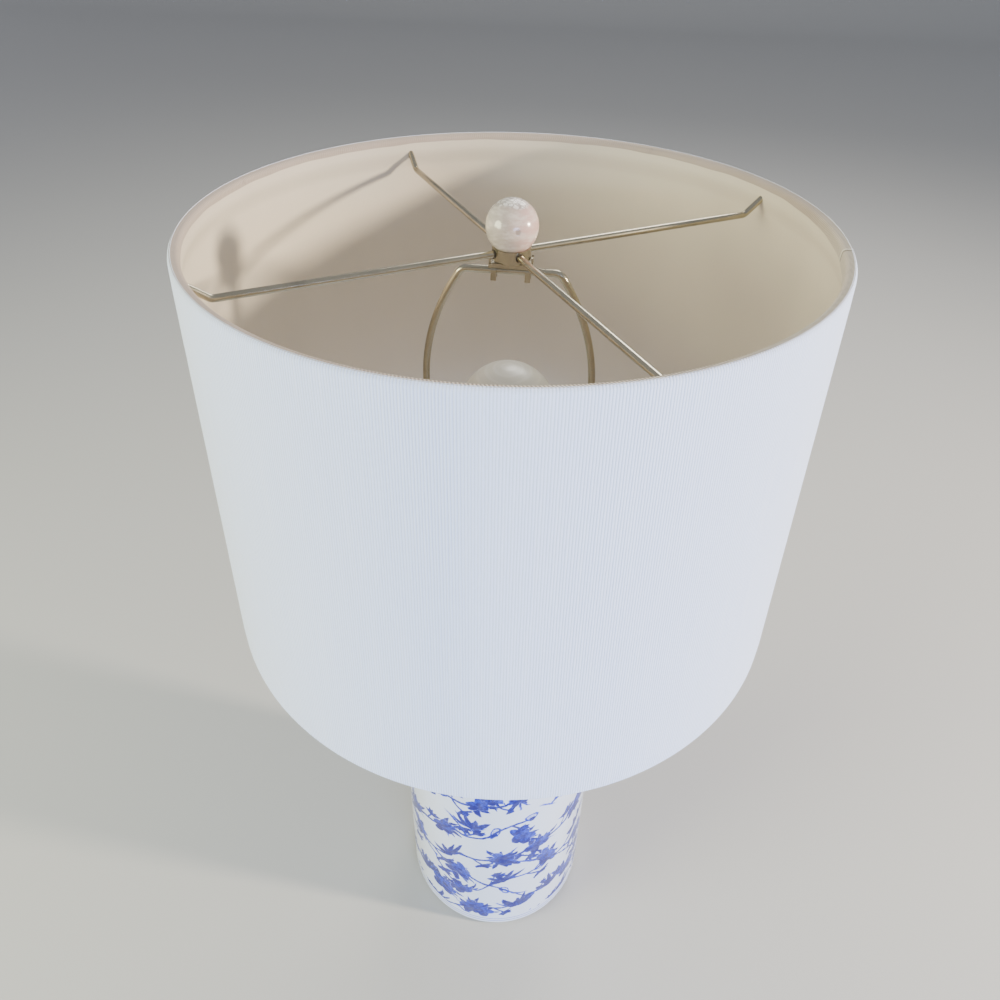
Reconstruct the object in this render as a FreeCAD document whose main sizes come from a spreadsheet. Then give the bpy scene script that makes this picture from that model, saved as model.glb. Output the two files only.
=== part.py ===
# Table lamp made from a lidded porcelain ginger jar, with a tapered drum shade.
#
# Millimetres, +Z up. The origin is the centre of the felt foot on the table.
# The harp stands in the XZ plane, the switch points to -Y and the cord hole to +Y.
#
# Every size is a cell of the sheet "Sizes". A Size carries a cell's number and its
# expression through sums, so a sketch starts in place and stays bound to the sheet.

import FreeCAD, Part
import math
import os

import Sketcher

doc = FreeCAD.newDocument("GingerJarLamp")

SIZES = {
    # felt foot and porcelain jar
    "felt_thickness": 2.0,
    "felt_inset": 1.5,
    "jar_foot_radius": 90.0,
    "jar_top_radius": 84.8,
    "jar_side_height": 326.0,
    "jar_foot_round": 4.0,
    "jar_wall": 5.0,
    "jar_foot_recess": 10.0,
    "jar_foot_width": 7.0,
    "jar_floor": 7.0,
    "jar_shoulder_round": 44.0,
    "jar_ledge_radius": 55.0,
    "jar_neck_radius": 44.0,
    "jar_neck_height": 24.0,
    # lid
    "lid_clearance": 1.0,
    "lid_wall": 5.0,
    "lid_side_height": 32.0,
    "lid_corner_round": 12.0,
    "lid_dome_round": 95.0,
    # threaded pipe through the jar and what it clamps
    "pipe_radius": 5.0,
    "pipe_bore": 3.2,
    "pipe_hole_gap": 1.0,
    "pipe_fit": 0.2,
    "pipe_tail": 6.5,
    "washer_radius": 20.0,
    "washer_thickness": 2.0,
    "nut_across_corners": 16.5,
    "nut_height": 5.0,
    "vase_cap_radius": 24.0,
    "vase_cap_height": 12.5,
    "vase_cap_wall": 1.4,
    "neck_tube_radius": 7.5,
    "neck_tube_height": 26.0,
    "neck_flange_radius": 9.5,
    "neck_flange_height": 2.5,
    "check_ring_radius": 10.5,
    "check_ring_height": 6.0,
    "check_ring_bevel": 1.0,
    # cord bushing at the back, near the foot
    "cord_hole_height": 30.0,
    "bushing_bore": 3.2,
    "bushing_barrel_radius": 4.4,
    "bushing_flange_radius": 7.0,
    "bushing_flange": 2.2,
    "bushing_edge": 0.73,
    "bushing_tail": 2.5,
    "bushing_fit": 0.1,
    # harp: saddle, bowed wire, sleeves, top plate and stud
    "saddle_hub_radius": 11.0,
    "saddle_strip_width": 8.0,
    "saddle_thickness": 2.0,
    "harp_foot_half": 27.0,
    "harp_wire_radius": 2.1,
    "harp_height": 203.5,
    "harp_top_half": 24.0,
    "harp_wide_half": 50.5,
    "harp_top_lean": 34.0,
    "harp_corner_round": 6.0,
    "harp_foot_lean": 25.0,
    "harp_bow_round": 90.0,
    "harp_foot_round": 30.0,
    "lap_start": 4.0,
    "lap_length": 10.0,
    "lap_gap": 0.1,
    "sleeve_length": 16.0,
    "sleeve_wall": 1.1,
    "sleeve_fit": 0.1,
    "plate_width": 6.4,
    "plate_thickness": 2.4,
    "tab_offset": 9.4,
    "tab_width": 3.0,
    "tab_wall": 1.2,
    "tab_slot": 3.0,
    "tab_drop": 5.0,
    "tab_fit": 0.05,
    "ear_width": 5.0,
    "ear_wall": 1.2,
    "ear_height": 3.9,
    "ear_clearance": 0.3,
    "stud_radius": 3.1,
    "stud_height": 14.2,
    "stud_fit": 0.08,
    # spider: cup-shaped hub on a boss, and four bent arms
    "hub_radius": 10.6,
    "hub_wall": 0.8,
    "hub_boss_radius": 6.0,
    "hub_boss_height": 3.1,
    "hub_floor": 4.2,
    "hub_height": 9.3,
    "arm_radius": 1.9,
    "arm_hole_fit": 0.1,
    "arm_height": 6.2,
    "arm_inner_reach": 8.6,
    "arm_bend_reach": 153.5,
    "arm_bend_round": 5.0,
    "arm_rise_angle": 38.0,
    "arm_end_reach": 167.1,
    "arm_first_angle": 31.3,
    # shade: two wire rings, stiff liner, cloth and rolled edge tape
    "shade_top_radius": 170.0,
    "shade_bottom_radius": 186.5,
    "shade_height": 253.0,
    "shade_above_arms": 17.8,
    "cloth_thickness": 0.8,
    "liner_thickness": 1.2,
    "layer_gap": 0.1,
    "ring_wire_radius": 1.4,
    "trim_half_width": 2.6,
    "trim_wall": 0.9,
    "trim_drop": 5.4,
    # finial: stone ball on a threaded insert
    "ball_radius": 14.15,
    "ball_seat_gap": 0.2,
    "insert_radius": 5.0,
    "insert_height": 13.0,
    "insert_fit": 0.08,
    # lamp holder
    "cap_neck_radius": 8.0,
    "cap_neck_height": 6.0,
    "cap_radius": 17.0,
    "cap_flare_round": 11.0,
    "cap_flare_height": 10.0,
    "cap_height": 22.0,
    "cap_wall": 0.8,
    "shell_wall": 0.6,
    "shell_fit": 0.1,
    "shell_overlap": 4.0,
    "shell_height": 43.0,
    "shell_bead": 0.6,
    "insulator_wall": 0.6,
    "core_height": 13.5,
    "screw_shell_wall": 0.5,
    "screw_shell_height": 25.5,
    "contact_radius": 3.2,
    "contact_opening": 4.8,
    "contact_height": 2.2,
    "terminal_radius": 2.4,
    "terminal_depth": 4.0,
    "set_screw_radius": 1.5,
    "set_screw_head": 2.6,
    # switch
    "stem_radius": 1.6,
    "stem_fit": 0.06,
    "stem_depth": 8.0,
    "stem_height": 9.0,
    "stem_slot_gap": 1.6,
    "knob_stand_off": 2.4,
    "knob_radius": 6.5,
    "knob_length": 15.0,
    "knob_foot_radius": 3.9,
    "knob_neck_radius": 4.6,
    "knob_neck_length": 5.0,
    "knob_shoulder": 1.5,
    "knob_tip_radius": 5.9,
    "knob_blade": 4.6,
    # bulb
    "bulb_base_radius": 13.0,
    "bulb_base_fit": 0.1,
    "bulb_tip_radius": 4.5,
    "bulb_tip_height": 0.8,
    "bulb_tip_gap": 0.3,
    "bulb_cone_radius": 11.5,
    "bulb_cone_height": 3.2,
    "bulb_base_height": 23.0,
    "bulb_collar_radius": 13.6,
    "bulb_collar_height": 2.5,
    "bulb_housing_height": 37.0,
    "bulb_globe_radius": 30.0,
    "bulb_globe_centre": 14.0,
    "bulb_globe_wall": 1.2,
    "led_board_thickness": 1.6,
    "led_board_inset": 2.0,
}


class Size:
    """A number with the sheet expression that gives it."""

    def __init__(self, value, text):
        self.value = value
        self.text = text

    def __add__(self, other):
        other = as_size(other)
        return Size(self.value + other.value, f"({self.text} + {other.text})")

    def __sub__(self, other):
        other = as_size(other)
        return Size(self.value - other.value, f"({self.text} - {other.text})")

    def __mul__(self, other):
        other = as_size(other)
        return Size(self.value * other.value, f"({self.text} * {other.text})")

    def __truediv__(self, other):
        other = as_size(other)
        return Size(self.value / other.value, f"({self.text} / {other.text})")

    def __neg__(self):
        return as_size(0) - self

    def __radd__(self, other):
        return as_size(other) + self

    def __rsub__(self, other):
        return as_size(other) - self

    def __rmul__(self, other):
        return as_size(other) * self


def as_size(value):
    return value if isinstance(value, Size) else Size(float(value), str(value))


def root(area):
    return Size(math.sqrt(area.value), f"sqrt({area.text})")


def sine(angle):
    return Size(math.sin(math.radians(angle.value)), f"sin({angle.text} * 1 deg)")


def cosine(angle):
    return Size(math.cos(math.radians(angle.value)), f"cos({angle.text} * 1 deg)")


class Sheet:
    """The spreadsheet, with one attribute for each named cell."""

    def __init__(self, table):
        cells = doc.addObject("Spreadsheet::Sheet", "Sizes")
        for row, (alias, number) in enumerate(table.items(), start=1):
            cells.set(f"A{row}", alias)
            cells.set(f"B{row}", str(number))
            cells.setAlias(f"B{row}", alias)
            setattr(self, alias, Size(number, f"Sizes.{alias}"))


q = Sheet(SIZES)
doc.recompute()

ZERO = Size(0.0, "0")
UPRIGHT = FreeCAD.Rotation()
TO_FRONT = FreeCAD.Rotation(FreeCAD.Vector(1, 0, 0), 90)    # local Z points to -Y
TO_BACK = FreeCAD.Rotation(FreeCAD.Vector(1, 0, 0), -90)    # local Z points to +Y
TO_RIGHT = FreeCAD.Rotation(FreeCAD.Vector(0, 1, 0), 90)    # local Z points to +X

nodes = []


# ---------------------------------------------------------------- helpers


def bind(thing, prop, size):
    """Sets a property and binds it to the sheet."""
    thing.setExpression(prop, as_size(size).text)


def place(thing, x=0, y=0, z=0, turn=UPRIGHT):
    """Puts a piece at bound coordinates, turned as given."""
    spot = [as_size(value) for value in (x, y, z)]
    base = FreeCAD.Vector(*(size.value for size in spot))
    thing.Placement = FreeCAD.Placement(base, turn)
    for axis, size in zip("xyz", spot):
        if size.text not in ("0", "0.0"):
            thing.setExpression(f".Placement.Base.{axis}", size.text)
    return thing


def keep(thing, node):
    """Names a finished sub-part."""
    thing.Label = node
    nodes.append(thing)
    return thing


def origin_plane(body, role):
    return next(item for item in body.Origin.OriginFeatures if item.Role == role)


def sketch_on(body, role):
    sketch = body.newObject("Sketcher::SketchObject", body.Name + "Sketch")
    sketch.AttachmentSupport = [(origin_plane(body, role), "")]
    sketch.MapMode = "FlatFace"
    return sketch


def hold(sketch, geometry, vertex, point):
    """Ties one vertex of a sketch to its bound coordinates."""
    for kind, axis, size in (("DistanceX", -2, point[0]), ("DistanceY", -1, point[1])):
        if size.text == "0":
            sketch.addConstraint(Sketcher.Constraint("PointOnObject", geometry, vertex, axis))
        else:
            rule = Sketcher.Constraint(kind, -1, 1, geometry, vertex, size.value)
            index = sketch.addConstraint(rule)
            sketch.setExpression(f"Constraints[{index}]", size.text)


def arc_between(start, end, radius):
    """A circle arc shorter than half a turn; a positive radius turns left."""
    first = FreeCAD.Vector(start[0].value, start[1].value, 0)
    last = FreeCAD.Vector(end[0].value, end[1].value, 0)
    chord = last - first
    reach = abs(radius.value)
    rise = math.sqrt(max(reach ** 2 - (chord.Length / 2) ** 2, 0.0))
    left = FreeCAD.Vector(-chord.y, chord.x, 0).normalize()
    side = 1 if radius.value > 0 else -1
    centre = (first + last) * 0.5 + left * rise * side
    if side < 0:
        first, last = last, first
    begin = math.atan2(first.y - centre.y, first.x - centre.x)
    finish = math.atan2(last.y - centre.y, last.x - centre.x)
    if finish < begin:
        finish += 2 * math.pi
    circle = Part.Circle(centre, FreeCAD.Vector(0, 0, 1), reach)
    return Part.ArcOfCircle(circle, begin, finish)


def draw(sketch, points, closed=True):
    """Draws lines and arcs through bound points. A third entry in a point is the
    radius of the arc that leads to it, positive when the arc turns left."""
    path = [tuple(as_size(value) for value in point) for point in points]
    count = len(path) if closed else len(path) - 1
    ends = []
    for index in range(count):
        start = path[index]
        end = path[(index + 1) % len(path)]
        first = (start[0], start[1])
        last = (end[0], end[1])
        if len(end) == 3:
            geometry = sketch.addGeometry(arc_between(first, last, end[2]), False)
            ends.append((geometry, 1, 2) if end[2].value > 0 else (geometry, 2, 1))
            reach = end[2] if end[2].value > 0 else -end[2]
            rule = sketch.addConstraint(Sketcher.Constraint("Radius", geometry, reach.value))
            sketch.setExpression(f"Constraints[{rule}]", reach.text)
        else:
            line = Part.LineSegment(
                FreeCAD.Vector(first[0].value, first[1].value, 0),
                FreeCAD.Vector(last[0].value, last[1].value, 0),
            )
            ends.append((sketch.addGeometry(line, False), 1, 2))
    for index, (geometry, start, end) in enumerate(ends):
        if index == 0 and not closed:
            hold(sketch, geometry, start, path[0])
        hold(sketch, geometry, end, path[(index + 1) % len(path)])
        if index + 1 < len(ends) or closed:
            following = ends[(index + 1) % len(ends)]
            joint = Sketcher.Constraint("Coincident", geometry, end, following[0], following[1])
            sketch.addConstraint(joint)


def turned(name, points):
    """A body turned about its own Z axis from a half section of radius and height."""
    body = doc.addObject("PartDesign::Body", name)
    section = sketch_on(body, "XZ_Plane")
    draw(section, points)
    turn = body.newObject("PartDesign::Revolution", name + "Turn")
    turn.Profile = section
    turn.ReferenceAxis = (section, ["V_Axis"])
    turn.Angle = 360
    return body


def tube(name, inner, outer, height):
    return turned(name, [(inner, ZERO), (outer, ZERO), (outer, height), (inner, height)])


def disc(name, radius, height, x=0, y=0, z=0, turn=UPRIGHT):
    rod = doc.addObject("Part::Cylinder", name)
    bind(rod, "Radius", radius)
    bind(rod, "Height", height)
    return place(rod, x, y, z, turn)


def block(name, length, width, height, x=0, y=0, z=0):
    """A box centred on x and y, standing on z."""
    box = doc.addObject("Part::Box", name)
    bind(box, "Length", length)
    bind(box, "Width", width)
    bind(box, "Height", height)
    return place(box, x - length / 2, y - width / 2, z)


def joined(name, pieces):
    union = doc.addObject("Part::MultiFuse", name)
    union.Shapes = pieces
    return union


def cut(name, base, tool):
    rest = doc.addObject("Part::Cut", name)
    rest.Base = base
    rest.Tool = tool
    return rest


def rod(name, points, plane, radius, start):
    """A round wire along a path in the XZ plane; its round section lies on plane."""
    body = doc.addObject("PartDesign::Body", name)
    path = sketch_on(body, "XZ_Plane")
    draw(path, points, closed=False)
    section = sketch_on(body, plane)
    centre = FreeCAD.Vector(*(size.value for size in start))
    section.AttachmentOffset = FreeCAD.Placement(centre, UPRIGHT)
    for axis, size in zip("xyz", start):
        if size.text != "0":
            section.setExpression(f".AttachmentOffset.Base.{axis}", size.text)
    ring = Part.Circle(FreeCAD.Vector(0, 0, 0), FreeCAD.Vector(0, 0, 1), radius.value)
    section.addGeometry(ring, False)
    section.addConstraint(Sketcher.Constraint("Coincident", 0, 3, -1, 1))
    section.addConstraint(Sketcher.Constraint("Radius", 0, radius.value))
    section.setExpression("Constraints[1]", radius.text)
    doc.recompute()
    pipe = body.newObject("PartDesign::AdditivePipe", name + "Pipe")
    pipe.Profile = section
    pipe.Spine = (path, [f"Edge{index + 1}" for index in range(len(path.Shape.Edges))])
    return body


# ---------------------------------------------------------------- heights, from the table up

jar_bottom = q.felt_thickness
shoulder_centre = q.jar_top_radius - q.jar_shoulder_round
ledge_offset = q.jar_ledge_radius - shoulder_centre
ledge_rise = q.jar_shoulder_round * q.jar_shoulder_round - ledge_offset * ledge_offset
jar_ledge = q.jar_side_height + root(ledge_rise)

lid_bottom = jar_bottom + jar_ledge
lid_inner = q.jar_neck_radius + q.lid_clearance
lid_outer = lid_inner + q.lid_wall
corner_centre = lid_outer - q.lid_corner_round
dome_gap = q.lid_dome_round - q.lid_corner_round
dome_sink = root(dome_gap * dome_gap - corner_centre * corner_centre)
dome_centre = q.lid_side_height - dome_sink


def dome_height(radius, inset=ZERO):
    """Height in the lid of its dome, or of a face inset from it, at a radius."""
    reach = q.lid_dome_round - inset
    return dome_centre + root(reach * reach - radius * radius)


vase_cap_bottom = lid_bottom + dome_height(q.vase_cap_radius - q.vase_cap_wall)
neck_bottom = vase_cap_bottom + q.vase_cap_height
check_ring_bottom = neck_bottom + q.neck_tube_height
saddle_bottom = check_ring_bottom + q.check_ring_height
saddle_top = saddle_bottom + q.saddle_thickness
harp_top = saddle_bottom + q.harp_height
plate_bottom = harp_top + q.harp_wire_radius
hub_bottom = plate_bottom + q.plate_thickness
hub_mouth = hub_bottom + q.hub_height
arm_level = hub_bottom + q.arm_height
shade_top = arm_level + q.shade_above_arms
shade_bottom = shade_top - q.shade_height

cap_bottom = saddle_top
shell_bottom = cap_bottom + q.cap_height - q.shell_overlap
shell_radius = q.cap_radius - q.cap_wall - q.shell_fit
core_bottom = shell_bottom + q.shell_fit
core_top = core_bottom + q.core_height
stem_level = core_bottom + q.stem_height
bulb_bottom = core_top + q.contact_height + q.bulb_tip_gap
cone_bottom = bulb_bottom + q.bulb_tip_height
bulb_base_bottom = cone_bottom + q.bulb_cone_height
housing_bottom = bulb_base_bottom + q.bulb_base_height
globe_bottom = housing_bottom + q.bulb_housing_height


# ---------------------------------------------------------------- felt foot and jar


def felt_pad():
    radius = q.jar_foot_radius - q.jar_foot_round - q.felt_inset
    keep(disc("FeltPad", radius, q.felt_thickness), "felt_pad")


def jar_wall_radius(height):
    """Outer radius of the leaning side at a height above the jar's foot."""
    run = q.jar_side_height - q.jar_foot_round
    return q.jar_foot_radius - (q.jar_foot_radius - q.jar_top_radius) * (height - q.jar_foot_round) / run


def jar_body():
    floor_top = q.jar_foot_recess + q.jar_floor
    foot_inner = q.jar_foot_radius - q.jar_foot_round - q.jar_foot_width
    neck_inner = q.jar_neck_radius - q.jar_wall
    inner_round = q.jar_shoulder_round - q.jar_wall
    neck_offset = neck_inner - shoulder_centre
    inner_shoulder = q.jar_side_height + root(inner_round * inner_round - neck_offset * neck_offset)
    neck_top = jar_ledge + q.jar_neck_height
    hole = q.pipe_radius + q.pipe_hole_gap
    jar = turned("JarForm", [
        (q.jar_foot_radius - q.jar_foot_round, ZERO),
        (q.jar_foot_radius, q.jar_foot_round, q.jar_foot_round),
        (q.jar_top_radius, q.jar_side_height),
        (q.jar_ledge_radius, jar_ledge, q.jar_shoulder_round),
        (q.jar_neck_radius, jar_ledge),
        (q.jar_neck_radius, neck_top),
        (neck_inner, neck_top),
        (neck_inner, inner_shoulder),
        (q.jar_top_radius - q.jar_wall, q.jar_side_height, -inner_round),
        (jar_wall_radius(floor_top) - q.jar_wall, floor_top),
        (hole, floor_top),
        (hole, q.jar_foot_recess),
        (foot_inner, q.jar_foot_recess),
        (foot_inner, ZERO),
    ])
    place(jar, z=jar_bottom)
    reach = q.jar_foot_radius + q.bushing_flange
    hole_radius = q.bushing_barrel_radius + q.bushing_fit
    drill = disc("CordHole", hole_radius, reach, z=jar_bottom + q.cord_hole_height, turn=TO_BACK)
    keep(cut("JarBody", jar, drill), "jar_body")


def jar_lid():
    hole = q.pipe_radius + q.pipe_hole_gap
    share = q.lid_corner_round / dome_gap
    inner_share = (q.lid_corner_round - q.lid_wall) / dome_gap
    lid = turned("JarLid", [
        (lid_inner, ZERO),
        (lid_outer, ZERO),
        (lid_outer, q.lid_side_height),
        (corner_centre * (1 + share), q.lid_side_height + dome_sink * share, q.lid_corner_round),
        (hole, dome_height(hole), q.lid_dome_round),
        (hole, dome_height(hole, q.lid_wall)),
        (corner_centre * (1 + inner_share), q.lid_side_height + dome_sink * inner_share,
         q.lid_wall - q.lid_dome_round),
        (lid_inner, q.lid_side_height, q.lid_wall - q.lid_corner_round),
    ])
    keep(place(lid, z=lid_bottom), "jar_lid")


def cord_bushing():
    barrel = q.jar_wall + q.bushing_tail
    edge = q.bushing_edge
    bushing = turned("CordBushing", [
        (q.bushing_bore, ZERO),
        (q.bushing_barrel_radius, ZERO),
        (q.bushing_barrel_radius, barrel),
        (q.bushing_flange_radius, barrel),
        (q.bushing_flange_radius, barrel + edge),
        (q.bushing_flange_radius - edge, barrel + q.bushing_flange),
        (q.bushing_bore, barrel + q.bushing_flange),
    ])
    seat = jar_wall_radius(q.cord_hole_height - q.bushing_flange_radius)
    place(bushing, y=seat - barrel, z=jar_bottom + q.cord_hole_height, turn=TO_BACK)
    keep(bushing, "cord_bushing")


# ---------------------------------------------------------------- pipe and what it clamps


def pipe_and_clamps():
    washer_bottom = jar_bottom + q.jar_foot_recess - q.washer_thickness
    nut_bottom = washer_bottom - q.nut_height
    pipe_bottom = washer_bottom - q.pipe_tail
    pipe = tube("LampPipe", q.pipe_bore, q.pipe_radius, cap_bottom + q.cap_neck_height - pipe_bottom)
    keep(place(pipe, z=pipe_bottom), "lamp_pipe")

    around_pipe = q.pipe_radius + q.pipe_fit
    washer = tube("BaseWasher", around_pipe, q.washer_radius, q.washer_thickness)
    keep(place(washer, z=washer_bottom), "base_washer")

    prism = doc.addObject("Part::Prism", "NutForm")
    prism.Polygon = 6
    bind(prism, "Circumradius", q.nut_across_corners / 2)
    bind(prism, "Height", q.nut_height)
    place(prism, z=nut_bottom)
    bore = disc("NutBore", around_pipe, q.nut_height, z=nut_bottom)
    keep(cut("BaseNut", prism, bore), "base_nut")

    crown = q.neck_flange_radius
    skirt = q.vase_cap_wall
    sweep = q.vase_cap_height + q.vase_cap_wall * 3
    vase_cap = turned("VaseCap", [
        (q.vase_cap_radius - q.vase_cap_wall, ZERO),
        (q.vase_cap_radius, ZERO),
        (q.vase_cap_radius, skirt),
        (crown, q.vase_cap_height - skirt, sweep),
        (crown, q.vase_cap_height),
        (around_pipe, q.vase_cap_height),
        (around_pipe, q.vase_cap_height - skirt * 2),
        (crown - skirt, q.vase_cap_height - skirt * 2),
        (q.vase_cap_radius - q.vase_cap_wall, skirt / 2, -sweep),
    ])
    keep(place(vase_cap, z=vase_cap_bottom), "vase_cap")

    taper = q.neck_flange_radius - q.neck_tube_radius
    lower = q.neck_flange_height
    upper = q.neck_tube_height - q.neck_flange_height
    neck = turned("NeckTube", [
        (around_pipe, ZERO),
        (q.neck_flange_radius, ZERO),
        (q.neck_flange_radius, lower),
        (q.neck_tube_radius, lower + taper),
        (q.neck_tube_radius, upper - taper),
        (q.neck_flange_radius, upper),
        (q.neck_flange_radius, q.neck_tube_height),
        (around_pipe, q.neck_tube_height),
    ])
    keep(place(neck, z=neck_bottom), "neck_tube")

    bevel = q.check_ring_bevel
    ring = turned("CheckRing", [
        (around_pipe, ZERO),
        (q.check_ring_radius - bevel, ZERO),
        (q.check_ring_radius, bevel),
        (q.check_ring_radius, q.check_ring_height - bevel),
        (q.check_ring_radius - bevel, q.check_ring_height),
        (around_pipe, q.check_ring_height),
    ])
    keep(place(ring, z=check_ring_bottom), "check_ring")


# ---------------------------------------------------------------- harp


def harp_saddle():
    """A stamped strip across the pipe with a half-lapped post at each end."""
    half = q.harp_foot_half
    end_radius = q.saddle_strip_width / 2
    post_top = q.lap_start + q.lap_length
    parts = [
        disc("SaddleHub", q.saddle_hub_radius, q.saddle_thickness, z=saddle_bottom),
        block("SaddleStrip", half * 2, q.saddle_strip_width, q.saddle_thickness, z=saddle_bottom),
    ]
    laps = [disc("SaddleHole", q.pipe_radius + q.pipe_fit, q.saddle_thickness, z=saddle_bottom)]
    for side, word in ((-1, "Left"), (1, "Right")):
        parts.append(disc("SaddleEnd" + word, end_radius, q.saddle_thickness,
                          x=half * side, z=saddle_bottom))
        parts.append(disc("Post" + word, q.harp_wire_radius, post_top, x=half * side, z=saddle_top))
        width = q.harp_wire_radius * 2
        offset = half + width / 2 - q.lap_gap / 2
        laps.append(block("PostLap" + word, width, width, q.lap_length,
                          x=offset * side, z=saddle_top + q.lap_start))
    keep(cut("HarpSaddle", joined("SaddleForm", parts), joined("SaddleLaps", laps)), "harp_saddle")


def harp_wire():
    """One bowed half of the wire, mirrored; each foot laps its post."""
    top_lean = q.harp_top_lean
    foot_lean = q.harp_foot_lean
    bends = q.harp_bow_round + q.harp_foot_round
    corner_x = q.harp_top_half + q.harp_corner_round * cosine(top_lean)
    corner_z = harp_top - q.harp_corner_round * (1 - sine(top_lean))
    upper_round = (q.harp_wide_half - corner_x) / (1 - cosine(top_lean))
    wide_z = corner_z - upper_round * sine(top_lean)
    straight = (q.harp_wide_half - q.harp_foot_half - bends * (1 - cosine(foot_lean))) / sine(foot_lean)
    leg_top = wide_z - bends * sine(foot_lean) - straight * cosine(foot_lean)
    lean_x = q.harp_foot_half + q.harp_foot_round * (1 - cosine(foot_lean))
    lean_z = leg_top + q.harp_foot_round * sine(foot_lean)
    foot_z = saddle_top + q.lap_start + q.lap_gap
    harp = rod("HarpForm", [
        (q.harp_foot_half, foot_z),
        (q.harp_foot_half, leg_top),
        (lean_x, lean_z, -q.harp_foot_round),
        (lean_x + straight * sine(foot_lean), lean_z + straight * cosine(foot_lean)),
        (q.harp_wide_half, wide_z, q.harp_bow_round),
        (corner_x, corner_z, upper_round),
        (q.harp_top_half, harp_top, q.harp_corner_round),
        (ZERO, harp_top),
    ], "XY_Plane", q.harp_wire_radius, (q.harp_foot_half, ZERO, foot_z))
    half_wire = harp.Tip
    mirror = harp.newObject("PartDesign::Mirrored", "HarpMirror")
    mirror.Originals = [half_wire]
    mirror.MirrorPlane = (origin_plane(harp, "YZ_Plane"), [""])
    harp.Tip = mirror
    width = q.harp_wire_radius * 2
    laps = []
    for side, word in ((-1, "Left"), (1, "Right")):
        offset = q.harp_foot_half - width / 2 + q.lap_gap / 2
        laps.append(block("HarpLap" + word, width, width, q.lap_length,
                          x=offset * side, z=foot_z))
    keep(cut("HarpWire", harp, joined("HarpLaps", laps)), "harp_wire")


def harp_sleeves():
    inner = q.harp_wire_radius + q.sleeve_fit
    for side, word in ((-1, "left"), (1, "right")):
        sleeve = tube("Sleeve" + word.title(), inner, inner + q.sleeve_wall, q.sleeve_length)
        keep(place(sleeve, x=q.harp_foot_half * side, z=saddle_top), "harp_sleeve_" + word)


def harp_top_plate():
    """The plate crimped on the wire by two pairs of tabs, its turned-up ears and its stud."""
    hold_radius = q.harp_wire_radius + q.tab_fit
    clamp_radius = hold_radius + q.tab_wall
    ear_middle = q.hub_radius + q.ear_clearance + q.ear_wall / 2
    length = ear_middle * 2 + q.ear_wall
    solid = [block("PlateForm", length, q.plate_width, q.plate_thickness, z=plate_bottom)]
    holes = [
        disc("StudHole", q.stud_radius + q.tab_fit, q.plate_thickness, z=plate_bottom),
        disc("WireChannel", hold_radius, length, x=-length / 2, z=harp_top, turn=TO_RIGHT),
    ]
    for side, word in ((-1, "Left"), (1, "Right")):
        solid.append(block("Ear" + word, q.ear_wall, q.ear_width, q.plate_thickness + q.ear_height,
                           x=ear_middle * side, z=plate_bottom))
        start = q.tab_offset * side - q.tab_width / 2
        solid.append(disc("Tab" + word, clamp_radius, q.tab_width, x=start, z=harp_top, turn=TO_RIGHT))
        solid.append(block("TabLegs" + word, q.tab_width, clamp_radius * 2, q.tab_drop,
                           x=q.tab_offset * side, z=harp_top - q.tab_drop))
        holes.append(block("TabSlot" + word, q.tab_width, q.tab_slot, q.tab_drop,
                           x=q.tab_offset * side, z=harp_top - q.tab_drop))
    keep(cut("HarpTopPlate", joined("PlateSolid", solid), joined("PlateHoles", holes)), "harp_top_plate")
    stud = disc("HarpStud", q.stud_radius, q.plate_thickness + q.stud_height, z=plate_bottom + q.tab_fit)
    keep(stud, "harp_stud")


# ---------------------------------------------------------------- spider


def spider_hub():
    inner = q.hub_radius - q.hub_wall
    hole = q.stud_radius + q.stud_fit
    cup = turned("HubCup", [
        (hole, ZERO),
        (q.hub_boss_radius, ZERO),
        (q.hub_boss_radius, q.hub_boss_height),
        (q.hub_radius, q.hub_boss_height),
        (q.hub_radius, q.hub_height),
        (inner, q.hub_height),
        (inner, q.hub_floor),
        (hole, q.hub_floor),
    ])
    place(cup, z=hub_bottom)
    drills = []
    for count in range(2):
        turn = FreeCAD.Rotation(FreeCAD.Vector(0, 0, 1), q.arm_first_angle.value + 90 * count) * TO_RIGHT
        length = q.hub_radius * 2
        drill = doc.addObject("Part::Cylinder", f"ArmDrill{count + 1}")
        bind(drill, "Radius", q.arm_radius + q.arm_hole_fit)
        bind(drill, "Height", length)
        start = turn.multVec(FreeCAD.Vector(0, 0, -q.hub_radius.value))
        drill.Placement = FreeCAD.Placement(start, turn)
        drill.setExpression(".Placement.Base.z", arm_level.text)
        drills.append(drill)
    keep(cut("SpiderHub", cup, joined("ArmDrills", drills)), "spider_hub")


rise = q.arm_rise_angle
arm_corner = q.arm_bend_reach + q.arm_bend_round * (1 - cosine(rise)) / sine(rise)
arm_end_height = (q.arm_end_reach - arm_corner) * sine(rise) / cosine(rise)


def spider_arms():
    """Four bent wires from the hub's holes up to the top ring."""
    bend_x = q.arm_bend_reach + q.arm_bend_round * sine(rise)
    bend_z = q.arm_bend_round * (1 - cosine(rise))
    for count in range(4):
        arm = rod(f"SpiderArm{count + 1}", [
            (q.arm_inner_reach, ZERO),
            (q.arm_bend_reach, ZERO),
            (bend_x, bend_z, q.arm_bend_round),
            (q.arm_end_reach, arm_end_height),
        ], "YZ_Plane", q.arm_radius, (ZERO, ZERO, q.arm_inner_reach))
        turn = FreeCAD.Rotation(FreeCAD.Vector(0, 0, 1), q.arm_first_angle.value + 90 * count)
        place(arm, z=arm_level, turn=turn)
        keep(arm, f"spider_arm_{count + 1}")


# ---------------------------------------------------------------- shade

shade_slope = (q.shade_bottom_radius - q.shade_top_radius) / q.shade_height


def shade_radius(height):
    """Outer radius of the cloth at a height above the shade's bottom edge."""
    return q.shade_bottom_radius - shade_slope * height


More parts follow.
